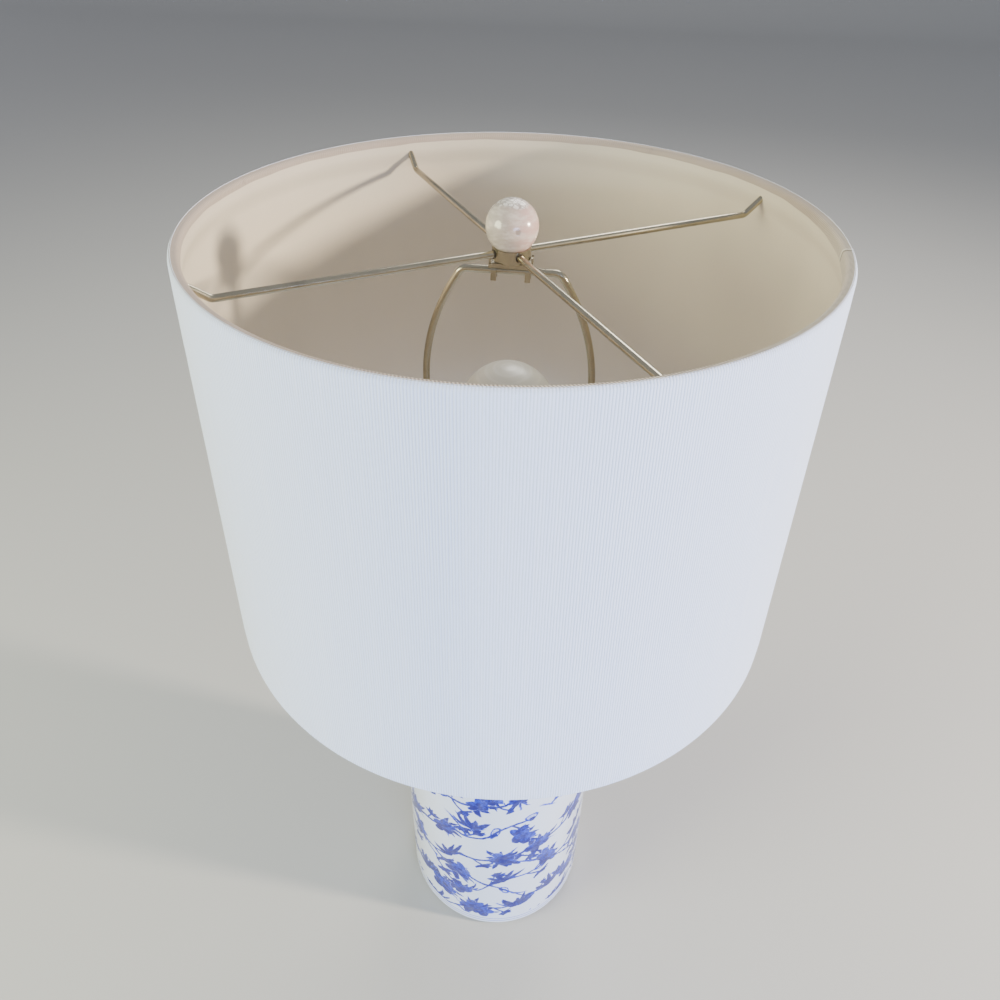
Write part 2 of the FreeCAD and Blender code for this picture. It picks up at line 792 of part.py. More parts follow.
def trim_centre(height):
    """Radius of the middle of a rolled edge that clears the cloth at a height."""
    return shade_radius(height) - q.cloth_thickness - q.layer_gap - q.trim_half_width


def shade_wall(name, inset, thickness, low, high):
    """A cone wall, inset from the cloth's outer face, between two heights."""
    return turned(name, [
        (shade_radius(low) - inset - thickness, low),
        (shade_radius(low) - inset, low),
        (shade_radius(high) - inset, high),
        (shade_radius(high) - inset - thickness, high),
    ])


def rolled_edge(name, centre, middle, drop):
    """Tape rolled over a ring wire, open on the side that drop points to."""
    outer = q.trim_half_width
    inner = q.trim_half_width - q.trim_wall
    side = 1 if drop.value < 0 else -1
    end = middle + drop
    return turned(name, [
        (centre - outer, end),
        (centre - inner, end),
        (centre - inner, middle),
        (centre, middle + inner * side, -inner * side),
        (centre + inner, middle, -inner * side),
        (centre + inner, end),
        (centre + outer, end),
        (centre + outer, middle),
        (centre, middle + outer * side, outer * side),
        (centre - outer, middle, outer * side),
    ])


def ring_wire(name, radius, height):
    ring = doc.addObject("Part::Torus", name)
    bind(ring, "Radius1", radius)
    bind(ring, "Radius2", q.ring_wire_radius)
    return place(ring, z=height)


def shade():
    top_edge = q.shade_height - q.trim_half_width
    bottom_edge = q.trim_half_width
    top_trim_end = top_edge - q.trim_drop
    bottom_trim_end = bottom_edge + q.trim_drop

    top_middle = trim_centre(q.shade_height)
    bottom_middle = trim_centre(bottom_trim_end)

    lip_reach = q.arm_end_reach - q.arm_radius * sine(rise)
    lip_height = arm_level + arm_end_height + q.arm_radius * cosine(rise)
    rest = q.ring_wire_radius + q.layer_gap
    aside = top_middle - lip_reach
    ring_height = lip_height + root(rest * rest - aside * aside)
    keep(ring_wire("TopRing", top_middle, ring_height), "shade_top_ring")
    keep(ring_wire("BottomRing", bottom_middle, shade_bottom + bottom_edge), "shade_bottom_ring")

    cloth = shade_wall("ShadeCloth", ZERO, q.cloth_thickness, q.layer_gap, q.shade_height - q.layer_gap)
    keep(place(cloth, z=shade_bottom), "shade_fabric")

    inset = q.cloth_thickness + q.layer_gap
    liner = shade_wall("ShadeLiner", inset, q.liner_thickness,
                       bottom_trim_end + q.layer_gap, top_trim_end - q.layer_gap)
    keep(place(liner, z=shade_bottom), "shade_liner")

    top_roll = rolled_edge("TopRoll", top_middle, top_edge, -q.trim_drop)
    place(top_roll, z=shade_bottom)
    slit_length = (q.arm_end_reach - arm_corner) / cosine(rise) + q.layer_gap
    slits = []
    for count in range(4):
        turn = FreeCAD.Rotation(FreeCAD.Vector(0, 0, 1), q.arm_first_angle.value + 90 * count)
        lean = FreeCAD.Rotation(FreeCAD.Vector(0, 1, 0), 90 - rise.value)
        slit = doc.addObject("Part::Cylinder", f"ArmSlit{count + 1}")
        bind(slit, "Radius", q.arm_radius + q.arm_hole_fit)
        bind(slit, "Height", slit_length)
        out = FreeCAD.Vector(arm_corner.value, 0, 0)
        slit.Placement = FreeCAD.Placement(turn.multVec(out), turn * lean)
        slit.setExpression(".Placement.Base.z", arm_level.text)
        slits.append(slit)
    keep(cut("TrimTop", top_roll, joined("ArmSlits", slits)), "trim_top")

    bottom_roll = rolled_edge("BottomRoll", bottom_middle, bottom_edge, q.trim_drop)
    keep(place(bottom_roll, z=shade_bottom), "trim_bottom")


# ---------------------------------------------------------------- finial


def finial():
    inner = q.stud_radius + q.insert_fit
    insert_bottom = hub_bottom + q.hub_floor
    insert = tube("FinialInsert", inner, q.insert_radius, q.insert_height)
    keep(place(insert, z=insert_bottom), "finial_insert")

    mouth = q.hub_radius - q.hub_wall
    centre = hub_mouth + root(q.ball_radius * q.ball_radius - mouth * mouth) + q.ball_seat_gap
    ball = doc.addObject("Part::Sphere", "FinialStone")
    bind(ball, "Radius", q.ball_radius)
    place(ball, z=centre)
    socket = disc("FinialSocket", q.insert_radius + q.insert_fit,
                  q.insert_height + q.ball_seat_gap, z=insert_bottom)
    keep(cut("FinialBall", ball, socket), "finial_ball")


# ---------------------------------------------------------------- lamp holder


def socket_cap():
    inner = q.cap_radius - q.cap_wall
    around_pipe = q.pipe_radius + q.pipe_fit
    flare_top = q.cap_neck_height + q.cap_flare_height
    hub_top = q.cap_neck_height + q.cap_wall
    form = turned("CapForm", [
        (around_pipe, ZERO),
        (q.cap_neck_radius, ZERO),
        (q.cap_neck_radius, q.cap_neck_height),
        (q.cap_radius, flare_top, q.cap_flare_round),
        (q.cap_radius, q.cap_height),
        (inner, q.cap_height),
        (inner, flare_top),
        (q.cap_neck_radius, hub_top, -q.cap_flare_round),
        (around_pipe, hub_top),
    ])
    place(form, z=cap_bottom)
    middle = cap_bottom + q.cap_neck_height / 2
    hole = disc("SetScrewHole", q.set_screw_radius + q.shell_fit, q.cap_radius, z=middle, turn=TO_BACK)
    keep(cut("SocketCap", form, hole), "socket_cap")

    shank = q.cap_neck_radius - around_pipe
    head = disc("SetScrewHead", q.set_screw_head, q.set_screw_radius,
                y=q.cap_neck_radius, z=middle, turn=TO_BACK)
    stem = disc("SetScrewStem", q.set_screw_radius, shank, y=around_pipe, z=middle, turn=TO_BACK)
    keep(joined("SocketSetScrew", [head, stem]), "socket_set_screw")


def stem_hole(name, wall_radius):
    """A tool that cuts the switch stem's slot through a wall at the front."""
    radius = q.stem_radius + q.stem_slot_gap
    return disc(name, radius, wall_radius + q.shell_bead * 2, z=stem_level, turn=TO_FRONT)


def socket_walls():
    inner = shell_radius - q.shell_wall
    bead = q.shell_bead
    shell = turned("ShellForm", [
        (inner, ZERO),
        (shell_radius, ZERO),
        (shell_radius, q.shell_height - bead * 4),
        (shell_radius + bead, q.shell_height - bead * 3),
        (shell_radius + bead, q.shell_height - bead),
        (shell_radius, q.shell_height),
        (inner, q.shell_height),
    ])
    place(shell, z=shell_bottom)
    keep(cut("SocketShell", shell, stem_hole("ShellSlot", shell_radius)), "socket_shell")

    lining_radius = inner - q.shell_fit
    lining = tube("LiningForm", lining_radius - q.insulator_wall, lining_radius, q.shell_height - bead * 2)
    place(lining, z=shell_bottom + q.shell_fit)
    keep(cut("SocketInsulator", lining, stem_hole("LiningSlot", lining_radius)), "socket_insulator")


def socket_inside():
    core_radius = shell_radius - q.shell_wall - q.insulator_wall - q.shell_fit * 2
    core = disc("CoreForm", core_radius, q.core_height, z=core_bottom)
    bore = disc("StemBore", q.stem_radius + q.stem_fit, core_radius, y=-q.stem_depth,
                z=stem_level, turn=TO_FRONT)
    pockets = [bore]
    screws = []
    for side, word in ((-1, "Left"), (1, "Right")):
        level = core_bottom + q.core_height / 2
        depth = q.terminal_depth
        start = (core_radius - depth) if side > 0 else -core_radius
        pockets.append(disc("Pocket" + word, q.terminal_radius + q.shell_fit, depth,
                            x=start, z=level, turn=TO_RIGHT))
        seat = (core_radius - depth) if side > 0 else (q.shell_fit - core_radius)
        screws.append(disc("Terminal" + word, q.terminal_radius, depth - q.shell_fit,
                           x=seat, z=level, turn=TO_RIGHT))
    keep(cut("SocketCore", core, joined("CorePockets", pockets)), "socket_core")
    pair = doc.addObject("Part::Compound", "TerminalScrews")
    pair.Links = screws
    keep(pair, "terminal_screws")

    inner = q.bulb_base_radius + q.bulb_base_fit
    wall = q.screw_shell_wall
    cup = turned("SocketScrewShell", [
        (q.contact_opening, ZERO),
        (inner + wall, ZERO),
        (inner + wall, q.screw_shell_height),
        (inner, q.screw_shell_height),
        (inner, wall),
        (q.contact_opening, wall),
    ])
    keep(place(cup, z=core_top), "socket_screw_shell")
    keep(disc("SocketContact", q.contact_radius, q.contact_height, z=core_top), "socket_contact")


def switch():
    tip = shell_radius + q.knob_stand_off
    length = tip - q.stem_depth + q.knob_neck_length
    stem = disc("SwitchStem", q.stem_radius, length, y=-q.stem_depth, z=stem_level, turn=TO_FRONT)
    keep(stem, "switch_stem")

    radius = q.knob_radius
    neck = q.knob_neck_length
    shoulder = neck + q.knob_shoulder
    form = turned("KnobForm", [
        (ZERO, ZERO),
        (q.knob_foot_radius, ZERO),
        (q.knob_neck_radius, neck),
        (radius, shoulder),
        (q.knob_tip_radius, q.knob_length),
        (ZERO, q.knob_length),
    ])
    place(form, y=-tip, z=stem_level, turn=TO_FRONT)
    tools = [disc("KnobBore", q.stem_radius, neck, y=-tip, z=stem_level, turn=TO_FRONT)]
    cheek = radius - q.knob_blade / 2
    for side, word in ((-1, "Left"), (1, "Right")):
        middle = (q.knob_blade / 2 + cheek / 2) * side
        depth = q.knob_length - shoulder
        tools.append(block("KnobCheek" + word, cheek, depth, radius * 2, x=middle,
                           y=depth / 2 - tip - q.knob_length, z=stem_level - radius))
    keep(cut("SwitchKnob", form, joined("KnobTools", tools)), "switch_knob")


# ---------------------------------------------------------------- bulb


def bulb():
    keep(disc("BulbTip", q.bulb_tip_radius, q.bulb_tip_height, z=bulb_bottom), "bulb_tip")

    cone = turned("BulbInsulator", [
        (ZERO, ZERO),
        (q.bulb_tip_radius, ZERO),
        (q.bulb_cone_radius, q.bulb_cone_height),
        (ZERO, q.bulb_cone_height),
    ])
    keep(place(cone, z=cone_bottom), "bulb_insulator")

    round_off = q.bulb_base_radius - q.bulb_cone_radius
    base = turned("BulbBase", [
        (ZERO, ZERO),
        (q.bulb_cone_radius, ZERO),
        (q.bulb_base_radius, round_off, round_off),
        (q.bulb_base_radius, q.bulb_base_height),
        (ZERO, q.bulb_base_height),
    ])
    keep(place(base, z=bulb_base_bottom), "bulb_base")

    reach = q.bulb_globe_radius
    seat = root(reach * reach - q.bulb_globe_centre * q.bulb_globe_centre)
    housing = turned("BulbHousing", [
        (ZERO, ZERO),
        (q.bulb_base_radius, ZERO),
        (q.bulb_collar_radius, q.bulb_collar_height),
        (seat, q.bulb_housing_height),
        (ZERO, q.bulb_housing_height),
    ])
    keep(place(housing, z=housing_bottom), "bulb_housing")

    inner = reach - q.bulb_globe_wall
    inner_seat = root(inner * inner - q.bulb_globe_centre * q.bulb_globe_centre)
    globe = turned("BulbGlobe", [
        (inner_seat, ZERO, -inner),
        (seat, ZERO),
        (ZERO, q.bulb_globe_centre + reach, reach),
        (ZERO, q.bulb_globe_centre + inner),
    ])
    keep(place(globe, z=globe_bottom), "bulb_globe")

    board = disc("LedBoard", inner_seat - q.led_board_inset, q.led_board_thickness, z=globe_bottom)
    keep(board, "led_board")


felt_pad()
jar_body()
jar_lid()
cord_bushing()
pipe_and_clamps()
harp_saddle()
harp_wire()
harp_sleeves()
harp_top_plate()
spider_hub()
spider_arms()
shade()
finial()
socket_cap()
socket_walls()
socket_inside()
switch()
bulb()

doc.recompute()

for thing in doc.Objects:
    if "Invalid" in thing.State or "Error" in thing.State:
        raise RuntimeError(f"{thing.Name} did not build: {thing.State}")
for thing in nodes:
    if thing.Shape.isNull() or not thing.Shape.isValid():
        raise RuntimeError(f"{thing.Label} has no valid shape")

os.makedirs("parts", exist_ok=True)
for thing in nodes:
    thing.Shape.exportStep(f"parts/{thing.Label}.step")
    print(f"{thing.Label}: {len(thing.Shape.Solids)} solid, {thing.Shape.Volume:.1f} mm3")
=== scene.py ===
import math

import bpy
from bpy.props import FloatProperty, FloatVectorProperty, PointerProperty
from bpy.types import Operator, Panel, PropertyGroup
from mathutils import Matrix, Vector


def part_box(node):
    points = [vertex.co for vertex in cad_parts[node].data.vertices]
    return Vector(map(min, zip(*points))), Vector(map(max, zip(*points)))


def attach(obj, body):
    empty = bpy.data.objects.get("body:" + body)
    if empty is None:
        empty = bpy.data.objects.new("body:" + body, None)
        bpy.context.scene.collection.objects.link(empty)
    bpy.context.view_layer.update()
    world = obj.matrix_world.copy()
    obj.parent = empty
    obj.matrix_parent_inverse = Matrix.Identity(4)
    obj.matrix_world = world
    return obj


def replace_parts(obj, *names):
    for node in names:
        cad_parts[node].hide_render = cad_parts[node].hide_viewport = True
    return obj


bl_info = {
    "name": "Ginger Jar Lamp",
    "version": (1, 0, 0),
    "blender": (4, 5, 0),
    "location": "View3D > Sidebar > Jar Lamp",
    "description": "Dresses a porcelain jar lamp with its cloth shade, harp and stone finial",
    "category": "Object",
}

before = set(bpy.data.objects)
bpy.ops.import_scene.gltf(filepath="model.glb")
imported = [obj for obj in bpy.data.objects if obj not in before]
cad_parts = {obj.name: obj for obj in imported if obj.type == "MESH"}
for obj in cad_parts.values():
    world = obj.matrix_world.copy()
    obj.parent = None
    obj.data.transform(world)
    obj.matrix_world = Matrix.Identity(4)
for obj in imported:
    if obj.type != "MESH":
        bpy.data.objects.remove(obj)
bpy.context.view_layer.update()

# ---------------------------------------------------------------- sizes that stay as they are

MM = 0.001
TURN = 2 * math.pi
INCH = 0.0254
STUD_THREAD = INCH / 27
BULB_THREAD = INCH / 7
ARM_RADIUS = 1.9 * MM
ARM_AZIMUTH = math.radians(31.3)
LINER_WALL = 1.2 * MM
LINER_LEAN_START = 13.0 * MM
LINER_LEAN_RISE = 14.4 * MM
LAYER_GAP = 0.1 * MM
UNDER_TAPE = 8  # degrees round the roll
TAPE_STEP = 0.95 * MM
TAPE_STEP_RUN = math.radians(40)
PICK_PITCH = 0.7 * MM
SHADE_SEGMENTS = 256
SMOOTH_ANGLE = math.radians(40)
FLOOR_SIZE = 12.0
FLOOR_SHIFT = 2.0
FLOOR_BEND = 2.0
BACKDROP_HEIGHT = 6.0


# ---------------------------------------------------------------- sizes read from the frame


def low(node):
    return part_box(node)[0]


def high(node):
    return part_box(node)[1]


SHADE_LOW = low("shade_fabric").z
SHADE_HIGH = high("shade_fabric").z
SHADE_FOOT_RADIUS = high("shade_fabric").x
LINER_LOW = low("shade_liner").z
LINER_HIGH = high("shade_liner").z
LINER_FOOT_INSIDE = high("shade_liner").x - LINER_WALL
HUB_RADIUS = high("spider_hub").x
ARM_LOW = low("spider_arm_1").z
JAR_LOW = low("jar_body").z
JAR_FOOT_RADIUS = high("jar_body").x
LID_LOW = low("jar_lid").z
LID_HIGH = high("jar_lid").z
LID_RADIUS = high("jar_lid").x
BALL_RADIUS = high("finial_ball").x
BALL_HEIGHT = high("finial_ball").z - BALL_RADIUS
FELT_RADIUS = high("felt_pad").x
FELT_LOW = low("felt_pad").z
FELT_HIGH = high("felt_pad").z


# ---------------------------------------------------------------- what a user may change


class LampSizes(PropertyGroup):
    """Sizes of the pieces that are made here."""

    shade_top_radius: FloatProperty(
        name="Shade top radius", description="Outer radius of the cloth at its top edge",
        default=0.170, unit="LENGTH")
    cloth_thickness: FloatProperty(
        name="Cloth thickness", description="Thickness of the outer cloth",
        default=0.0008, unit="LENGTH")
    rib_pitch: FloatProperty(
        name="Rib pitch", description="Distance between the upright ribs of the cloth",
        default=0.0014, unit="LENGTH")
    tape_rib_pitch: FloatProperty(
        name="Tape rib pitch", description="Distance between the slanted ribs of the tape",
        default=0.0015, unit="LENGTH")
    roll_round: FloatProperty(
        name="Roll round", description="Radius of the rolled edges of the shade",
        default=0.0022, unit="LENGTH")
    tape_thickness: FloatProperty(
        name="Tape thickness", description="Thickness of the tape with its glue",
        default=0.0006, unit="LENGTH")
    tape_drop: FloatProperty(
        name="Tape drop", description="How far the tape runs down past the roll's middle",
        default=0.0013, unit="LENGTH")
    tape_widening: FloatProperty(
        name="Tape widening", description="How much further it runs down beside its joint",
        default=0.0034, unit="LENGTH")
    tape_start: FloatProperty(
        name="Tape start", description="Where on the roll the cloth ends and the tape starts",
        default=math.radians(56), subtype="ANGLE")
    lap_width: FloatProperty(
        name="Lap width", description="How far the ends of cloth, liner and tape overlap",
        default=0.011, unit="LENGTH")
    lap_azimuth: FloatProperty(
        name="Lap azimuth", description="Where those ends overlap, about the lamp's axis",
        default=math.radians(-6.4), subtype="ANGLE")
    motif_pitch: FloatProperty(
        name="Motif pitch", description="Distance between painted motifs along a branch",
        default=0.044, unit="LENGTH")
    branch_pitch: FloatProperty(
        name="Branch pitch", description="Upright distance between painted branches",
        default=0.054, unit="LENGTH")
    brush: FloatProperty(
        name="Brush", description="Width of a full brush stroke of the painting",
        default=0.0015, unit="LENGTH")


class LampColours(PropertyGroup):
    """Colours of the lamp's finishes."""

    cloth: FloatVectorProperty(
        name="Cloth", description="Outer cloth of the shade", subtype="COLOR",
        default=(0.71, 0.785, 0.98))
    liner: FloatVectorProperty(
        name="Liner", description="Stiff sheet inside the shade", subtype="COLOR",
        default=(0.66, 0.58, 0.475))
    tape: FloatVectorProperty(
        name="Edge tape", description="Tape rolled over the shade's edges", subtype="COLOR",
        default=(0.36, 0.29, 0.245))
    nickel: FloatVectorProperty(
        name="Nickel", description="Brushed nickel of the harp and spider", subtype="COLOR",
        default=(0.40, 0.365, 0.28))
    glaze: FloatVectorProperty(
        name="Glaze", description="White glaze of the jar", subtype="COLOR",
        default=(0.66, 0.71, 0.82))
    wash: FloatVectorProperty(
        name="Thin blue", description="Thin wash of the blue painting", subtype="COLOR",
        default=(0.004, 0.035, 0.56))
    cobalt: FloatVectorProperty(
        name="Cobalt", description="Deepest blue of the painting", subtype="COLOR",
        default=(0.0, 0.001, 0.17))
    stone: FloatVectorProperty(
        name="Stone", description="Stone of the finial", subtype="COLOR",
        default=(0.48, 0.38, 0.32))
    floor: FloatVectorProperty(
        name="Floor", description="Plain floor and backdrop", subtype="COLOR",
        default=(0.42, 0.42, 0.42))


class LampCamera(PropertyGroup):
    """Where the camera stands and how it looks."""

    place: FloatVectorProperty(
        name="Place", description="Camera position", subtype="TRANSLATION",
        default=(0.03976, -0.38410, 0.83042))
    yaw: FloatProperty(
        name="Yaw", description="Turn to the left of the +Y direction",
        default=math.radians(6.406), subtype="ANGLE")
    pitch: FloatProperty(
        name="Pitch", description="Tilt below the horizon",
        default=math.radians(40.24), subtype="ANGLE")
    roll: FloatProperty(
        name="Roll", description="Turn about the line of sight",
        default=math.radians(1.22), subtype="ANGLE")
    lens: FloatProperty(
        name="Lens", description="Focal length for a 36 mm wide sensor", default=26.308,
        unit="CAMERA")


def sizes():
    return bpy.context.scene.lamp_sizes


def colours():
    return bpy.context.scene.lamp_colours


# ---------------------------------------------------------------- shader maths


class Value:
    """An output socket of a finish, so that shader maths reads as Python."""

    def __init__(self, finish, socket):
        self.finish = finish
        self.socket = socket

    def __add__(self, other):
        return self.finish.math("ADD", self, other)

    def __radd__(self, other):
        return self.finish.math("ADD", other, self)

    def __sub__(self, other):
        return self.finish.math("SUBTRACT", self, other)

    def __rsub__(self, other):
        return self.finish.math("SUBTRACT", other, self)

    def __mul__(self, other):
        return self.finish.math("MULTIPLY", self, other)

    def __rmul__(self, other):
        return self.finish.math("MULTIPLY", other, self)

    def __truediv__(self, other):
        return self.finish.math("DIVIDE", self, other)


class Finish:
    """A material made of nodes round one Principled shader."""

    def __init__(self, name):
        self.material = bpy.data.materials.new(name)
        self.material.use_nodes = True
        self.tree = self.material.node_tree
        self.tree.nodes.clear()
        self.shader = self.tree.nodes.new("ShaderNodeBsdfPrincipled")
        output = self.tree.nodes.new("ShaderNodeOutputMaterial")
        self.tree.links.new(self.shader.outputs[0], output.inputs["Surface"])

    def node(self, kind, settings, inputs, output=0):
        """Any node: its type, its settings, its sockets' values or links."""
        made = self.tree.nodes.new(kind)
        for key, value in settings.items():
            setattr(made, key, value)
        for key, value in inputs.items():
            self.feed(made.inputs[key], value)
        return Value(self, made.outputs[output])

    def feed(self, socket, value):
        if isinstance(value, Value):
            self.tree.links.new(value.socket, socket)
        elif socket.type == "RGBA":
            socket.default_value = (*value, 1.0)
        else:
            socket.default_value = value

    def math(self, operation, *values):
        return self.node("ShaderNodeMath", {"operation": operation}, dict(enumerate(values)))

    def vector(self, operation, *values, output="Vector"):
        settings = {"operation": operation}
        return self.node("ShaderNodeVectorMath", settings, dict(enumerate(values)), output)

    def spread(self, vector, factor):
        """A vector times a number that may be a socket."""
        inputs = {"Vector": vector, "Scale": factor}
        return self.node("ShaderNodeVectorMath", {"operation": "SCALE"}, inputs)

    def place(self):
        return self.node("ShaderNodeTexCoord", {}, {}, "Object")

    def parts(self, vector):
        """X, Y and Z of a vector."""
        split = self.node("ShaderNodeSeparateXYZ", {}, {0: vector})
        return [Value(self, socket) for socket in split.socket.node.outputs]

    def joined(self, x, y, z=0.0):
        return self.node("ShaderNodeCombineXYZ", {}, {0: x, 1: y, 2: z})

    def noise(self, vector, scale, detail=2.0, rough=0.5, output=0):
        inputs = {"Vector": vector, "Scale": scale, "Detail": detail, "Roughness": rough}
        return self.node("ShaderNodeTexNoise", {}, inputs, output)

    def drift(self, along, scale):
        """A smooth wander between -0.5 and 0.5 along one number."""
        inputs = {"W": along, "Scale": scale, "Detail": 1.0}
        return self.node("ShaderNodeTexNoise", {"noise_dimensions": "1D"}, inputs) - 0.5

    def chances(self, seed):
        """Three numbers from 0 to 1 that stay the same for one seed."""
        inputs = {"W": seed}
        drawn = self.node("ShaderNodeTexWhiteNoise", {"noise_dimensions": "1D"}, inputs, "Color")
        return self.parts(drawn)

    def rise(self, value, start, end):
        """0 before start and 1 past end, smooth between them; start may be the larger."""
        settings = {"interpolation_type": "SMOOTHSTEP"}
        inputs = {"Value": value, "From Min": start, "From Max": end}
        return self.node("ShaderNodeMapRange", settings, inputs)

    def most(self, *values):
        first = values[0]
        for value in values[1:]:
            first = self.math("MAXIMUM", first, value)
        return first

    def mix(self, factor, first, second):
        """Two colours mixed; the mix node takes colours at sockets 6 and 7 and gives one at 2."""
        settings = {"data_type": "RGBA"}
        return self.node("ShaderNodeMix", settings, {0: factor, 6: first, 7: second}, 2)

    def bump(self, height, depth, strength=1.0):
        inputs = {"Strength": strength, "Distance": depth, "Height": height}
        return self.node("ShaderNodeBump", {}, inputs)

    def stretched(self, x, y, z):
        return self.vector("MULTIPLY", self.place(), (x, y, z))

    def around(self):
        """Angle about the lamp's axis from its front, distance from the axis and height."""
        x, y, z = self.parts(self.place())
        angle = self.math("ARCTAN2", x, 0.0 - y)
        return angle, self.math("SQRT", x * x + y * y), z

    def surface(self, **sockets):
        """Feeds the shader's sockets and gives the material."""
        for key, value in sockets.items():
            self.feed(self.shader.inputs[key.replace("_", " ")], value)
        return self.material


def darker(colour, share):
    return tuple(channel * share for channel in colour)


# ---------------------------------------------------------------- finishes of the metal parts


def nickel_finish():
    """Warm brushed nickel with fine drawn lines and a little tarnish."""
    f = Finish("warm_nickel")
    lines = f.noise(f.place(), 1400.0, 3.0, 0.6)
    stain = f.noise(f.place(), 60.0, 3.0, 0.5)
    tone = f.mix(f.rise(stain, 0.45, 0.8) * 0.5, colours().nickel,
                 darker(colours().nickel, 0.6))
    return f.surface(
        Base_Color=f.mix(f.rise(lines, 0.4, 0.8) * 0.12, tone, (0.62, 0.57, 0.44)),
        Metallic=1.0,
        Roughness=0.2 + lines * 0.1,
        Normal=f.bump(lines, 0.00002, 0.3),
    )


def joint_shadow_finish():
    """Painted shadow in the joint where an arm enters the hub: a dark finish for its ring."""
    f = Finish("painted_joint_shadow")
    grain = f.noise(f.place(), 900.0, 3.0)
    return f.surface(
        Base_Color=f.mix(grain, (0.02, 0.015, 0.01), (0.07, 0.05, 0.035)),
        Roughness=0.7 + grain * 0.2,
        Normal=f.bump(grain, 0.00005, 0.5),
    )


def threaded_finish(name, colour, pitch, depth):
    """Metal with a screw thread of a given pitch round the lamp's axis; painted shade darkens its
    grooves.
    """
    f = Finish(name)
    angle, _, z = f.around()
    ridge = f.math("SINE", z * (TURN / pitch) + angle) * 0.5 + 0.5
    grain = f.noise(f.place(), 500.0, 3.0)
    # The thread's grooves are darker: painted shade.
    return f.surface(
        Base_Color=f.mix(ridge, darker(colour, 0.55), colour),
        Metallic=1.0,
        Roughness=0.24 + grain * 0.16,
        Normal=f.bump(ridge + grain * 0.03, depth),
    )


def zinc_finish():
    """Dull zinc plating with a faint spangle."""
    f = Finish("zinc_plate")
    spangle = f.node("ShaderNodeTexVoronoi", {}, {"Vector": f.place(), "Scale": 420.0}, "Color")
    cloud = f.noise(f.place(), 160.0, 3.0)
    return f.surface(
        Base_Color=f.mix(cloud * 0.6, (0.52, 0.53, 0.52), (0.34, 0.35, 0.35)),
        Metallic=1.0,
        Roughness=0.36 + cloud * 0.2,
        Normal=f.bump(f.parts(spangle)[0], 0.00003, 0.4),
    )


def brass_finish():
    """Thin pressed brass, a little oxidised."""
    f = Finish("pressed_brass")
    cloud = f.noise(f.place(), 220.0, 4.0)
    return f.surface(
        Base_Color=f.mix(f.rise(cloud, 0.4, 0.8), (0.66, 0.47, 0.19), (0.34, 0.24, 0.11)),
        Metallic=1.0,
        Roughness=0.26 + cloud * 0.25,
        Normal=f.bump(cloud, 0.00004, 0.4),
    )


def contact_finish():
    """Soft solder of the bulb's end contact."""
    f = Finish("solder")
    grain = f.noise(f.place(), 700.0, 3.0)
    return f.surface(
        Base_Color=f.mix(grain, (0.40, 0.40, 0.40), (0.62, 0.62, 0.61)),
        Metallic=1.0,
        Roughness=0.3 + grain * 0.2,
        Normal=f.bump(grain, 0.0001, 0.5),
    )


def steel_finish():
    """Galvanised wire of the shade's rings."""
    f = Finish("galvanised_wire")
    grain = f.noise(f.place(), 600.0, 3.0)
    return f.surface(
        Base_Color=f.mix(grain * 0.6, (0.50, 0.50, 0.48), (0.30, 0.30, 0.29)),
        Metallic=1.0,
        Roughness=0.4 + grain * 0.15,
        Normal=f.bump(grain, 0.00004, 0.4),
    )


# ---------------------------------------------------------------- finishes of the plain parts


def phenolic_finish():
    """Black moulded plastic with a fine orange peel."""
    f = Finish("black_phenolic")
    grain = f.noise(f.place(), 900.0, 3.0)
    wear = f.noise(f.place(), 120.0, 4.0)
    # Paler patches of wear, at random.
    wear_and_unlit_side = f.rise(wear, 0.5, 0.85) * 0.6
    return f.surface(
        Base_Color=f.mix(wear_and_unlit_side, (0.012, 0.012, 0.013), (0.05, 0.05, 0.05)),
        Roughness=0.32 + wear * 0.2,
        Normal=f.bump(grain, 0.00008, 0.5),
    )


def fibre_finish():
    """Grey-brown fibre board."""
    f = Finish("fibre_lining")
    fibre = f.noise(f.stretched(400, 400, 2400), 1.0, 4.0, 0.7)
    return f.surface(
        Base_Color=f.mix(fibre, (0.30, 0.22, 0.14), (0.46, 0.37, 0.27)),
        Roughness=0.85,
        Normal=f.bump(fibre, 0.0001, 0.6),
    )


def bushing_finish():
    """Ivory moulded plastic."""
    f = Finish("ivory_plastic")
    grain = f.noise(f.place(), 700.0, 3.0)
    return f.surface(
        Base_Color=f.mix(grain * 0.4, (0.74, 0.72, 0.64), (0.66, 0.63, 0.54)),
        Roughness=0.42 + grain * 0.15,
        Normal=f.bump(grain, 0.00006, 0.4),
    )


def bulb_body_finish():
    """Opal white plastic of the bulb's housing."""
    f = Finish("opal_plastic")
    grain = f.noise(f.place(), 500.0, 3.0)
    return f.surface(
        Base_Color=f.mix(grain * 0.5, (0.78, 0.78, 0.76), (0.72, 0.72, 0.69)),
        Roughness=0.32 + grain * 0.12,
        Normal=f.bump(grain, 0.00005, 0.3),
    )


def diffuser_finish():
    """Frosted, faintly grey dome with soft moulded rings."""
    f = Finish("frosted_dome")
    _, away, _ = f.around()
    cloud = f.noise(f.place(), 60.0, 3.0)
    rings = f.math("SINE", away * 1300.0 + cloud * 4.0)
    streak = f.rise(rings * cloud, 0.1, 0.6) * 0.35
    return f.surface(
        Base_Color=f.mix(streak, (0.70, 0.68, 0.59), (0.84, 0.82, 0.75)),
        Roughness=0.3 + cloud * 0.15,
        Coat_Weight=0.3,
        Coat_Roughness=0.2,
        Normal=f.bump(rings * 0.4 + cloud, 0.00015, 0.3),
    )


def felt_finish():
    """Dense black wool felt."""
    f = Finish("wool_felt")
    fuzz = f.noise(f.place(), 1800.0, 5.0, 0.8)
    return f.surface(
        Base_Color=f.mix(fuzz, (0.02, 0.02, 0.022), (0.09, 0.09, 0.095)),
        Roughness=0.95,
        Sheen_Weight=0.4,
        Normal=f.bump(fuzz, 0.0006, 0.9),
    )


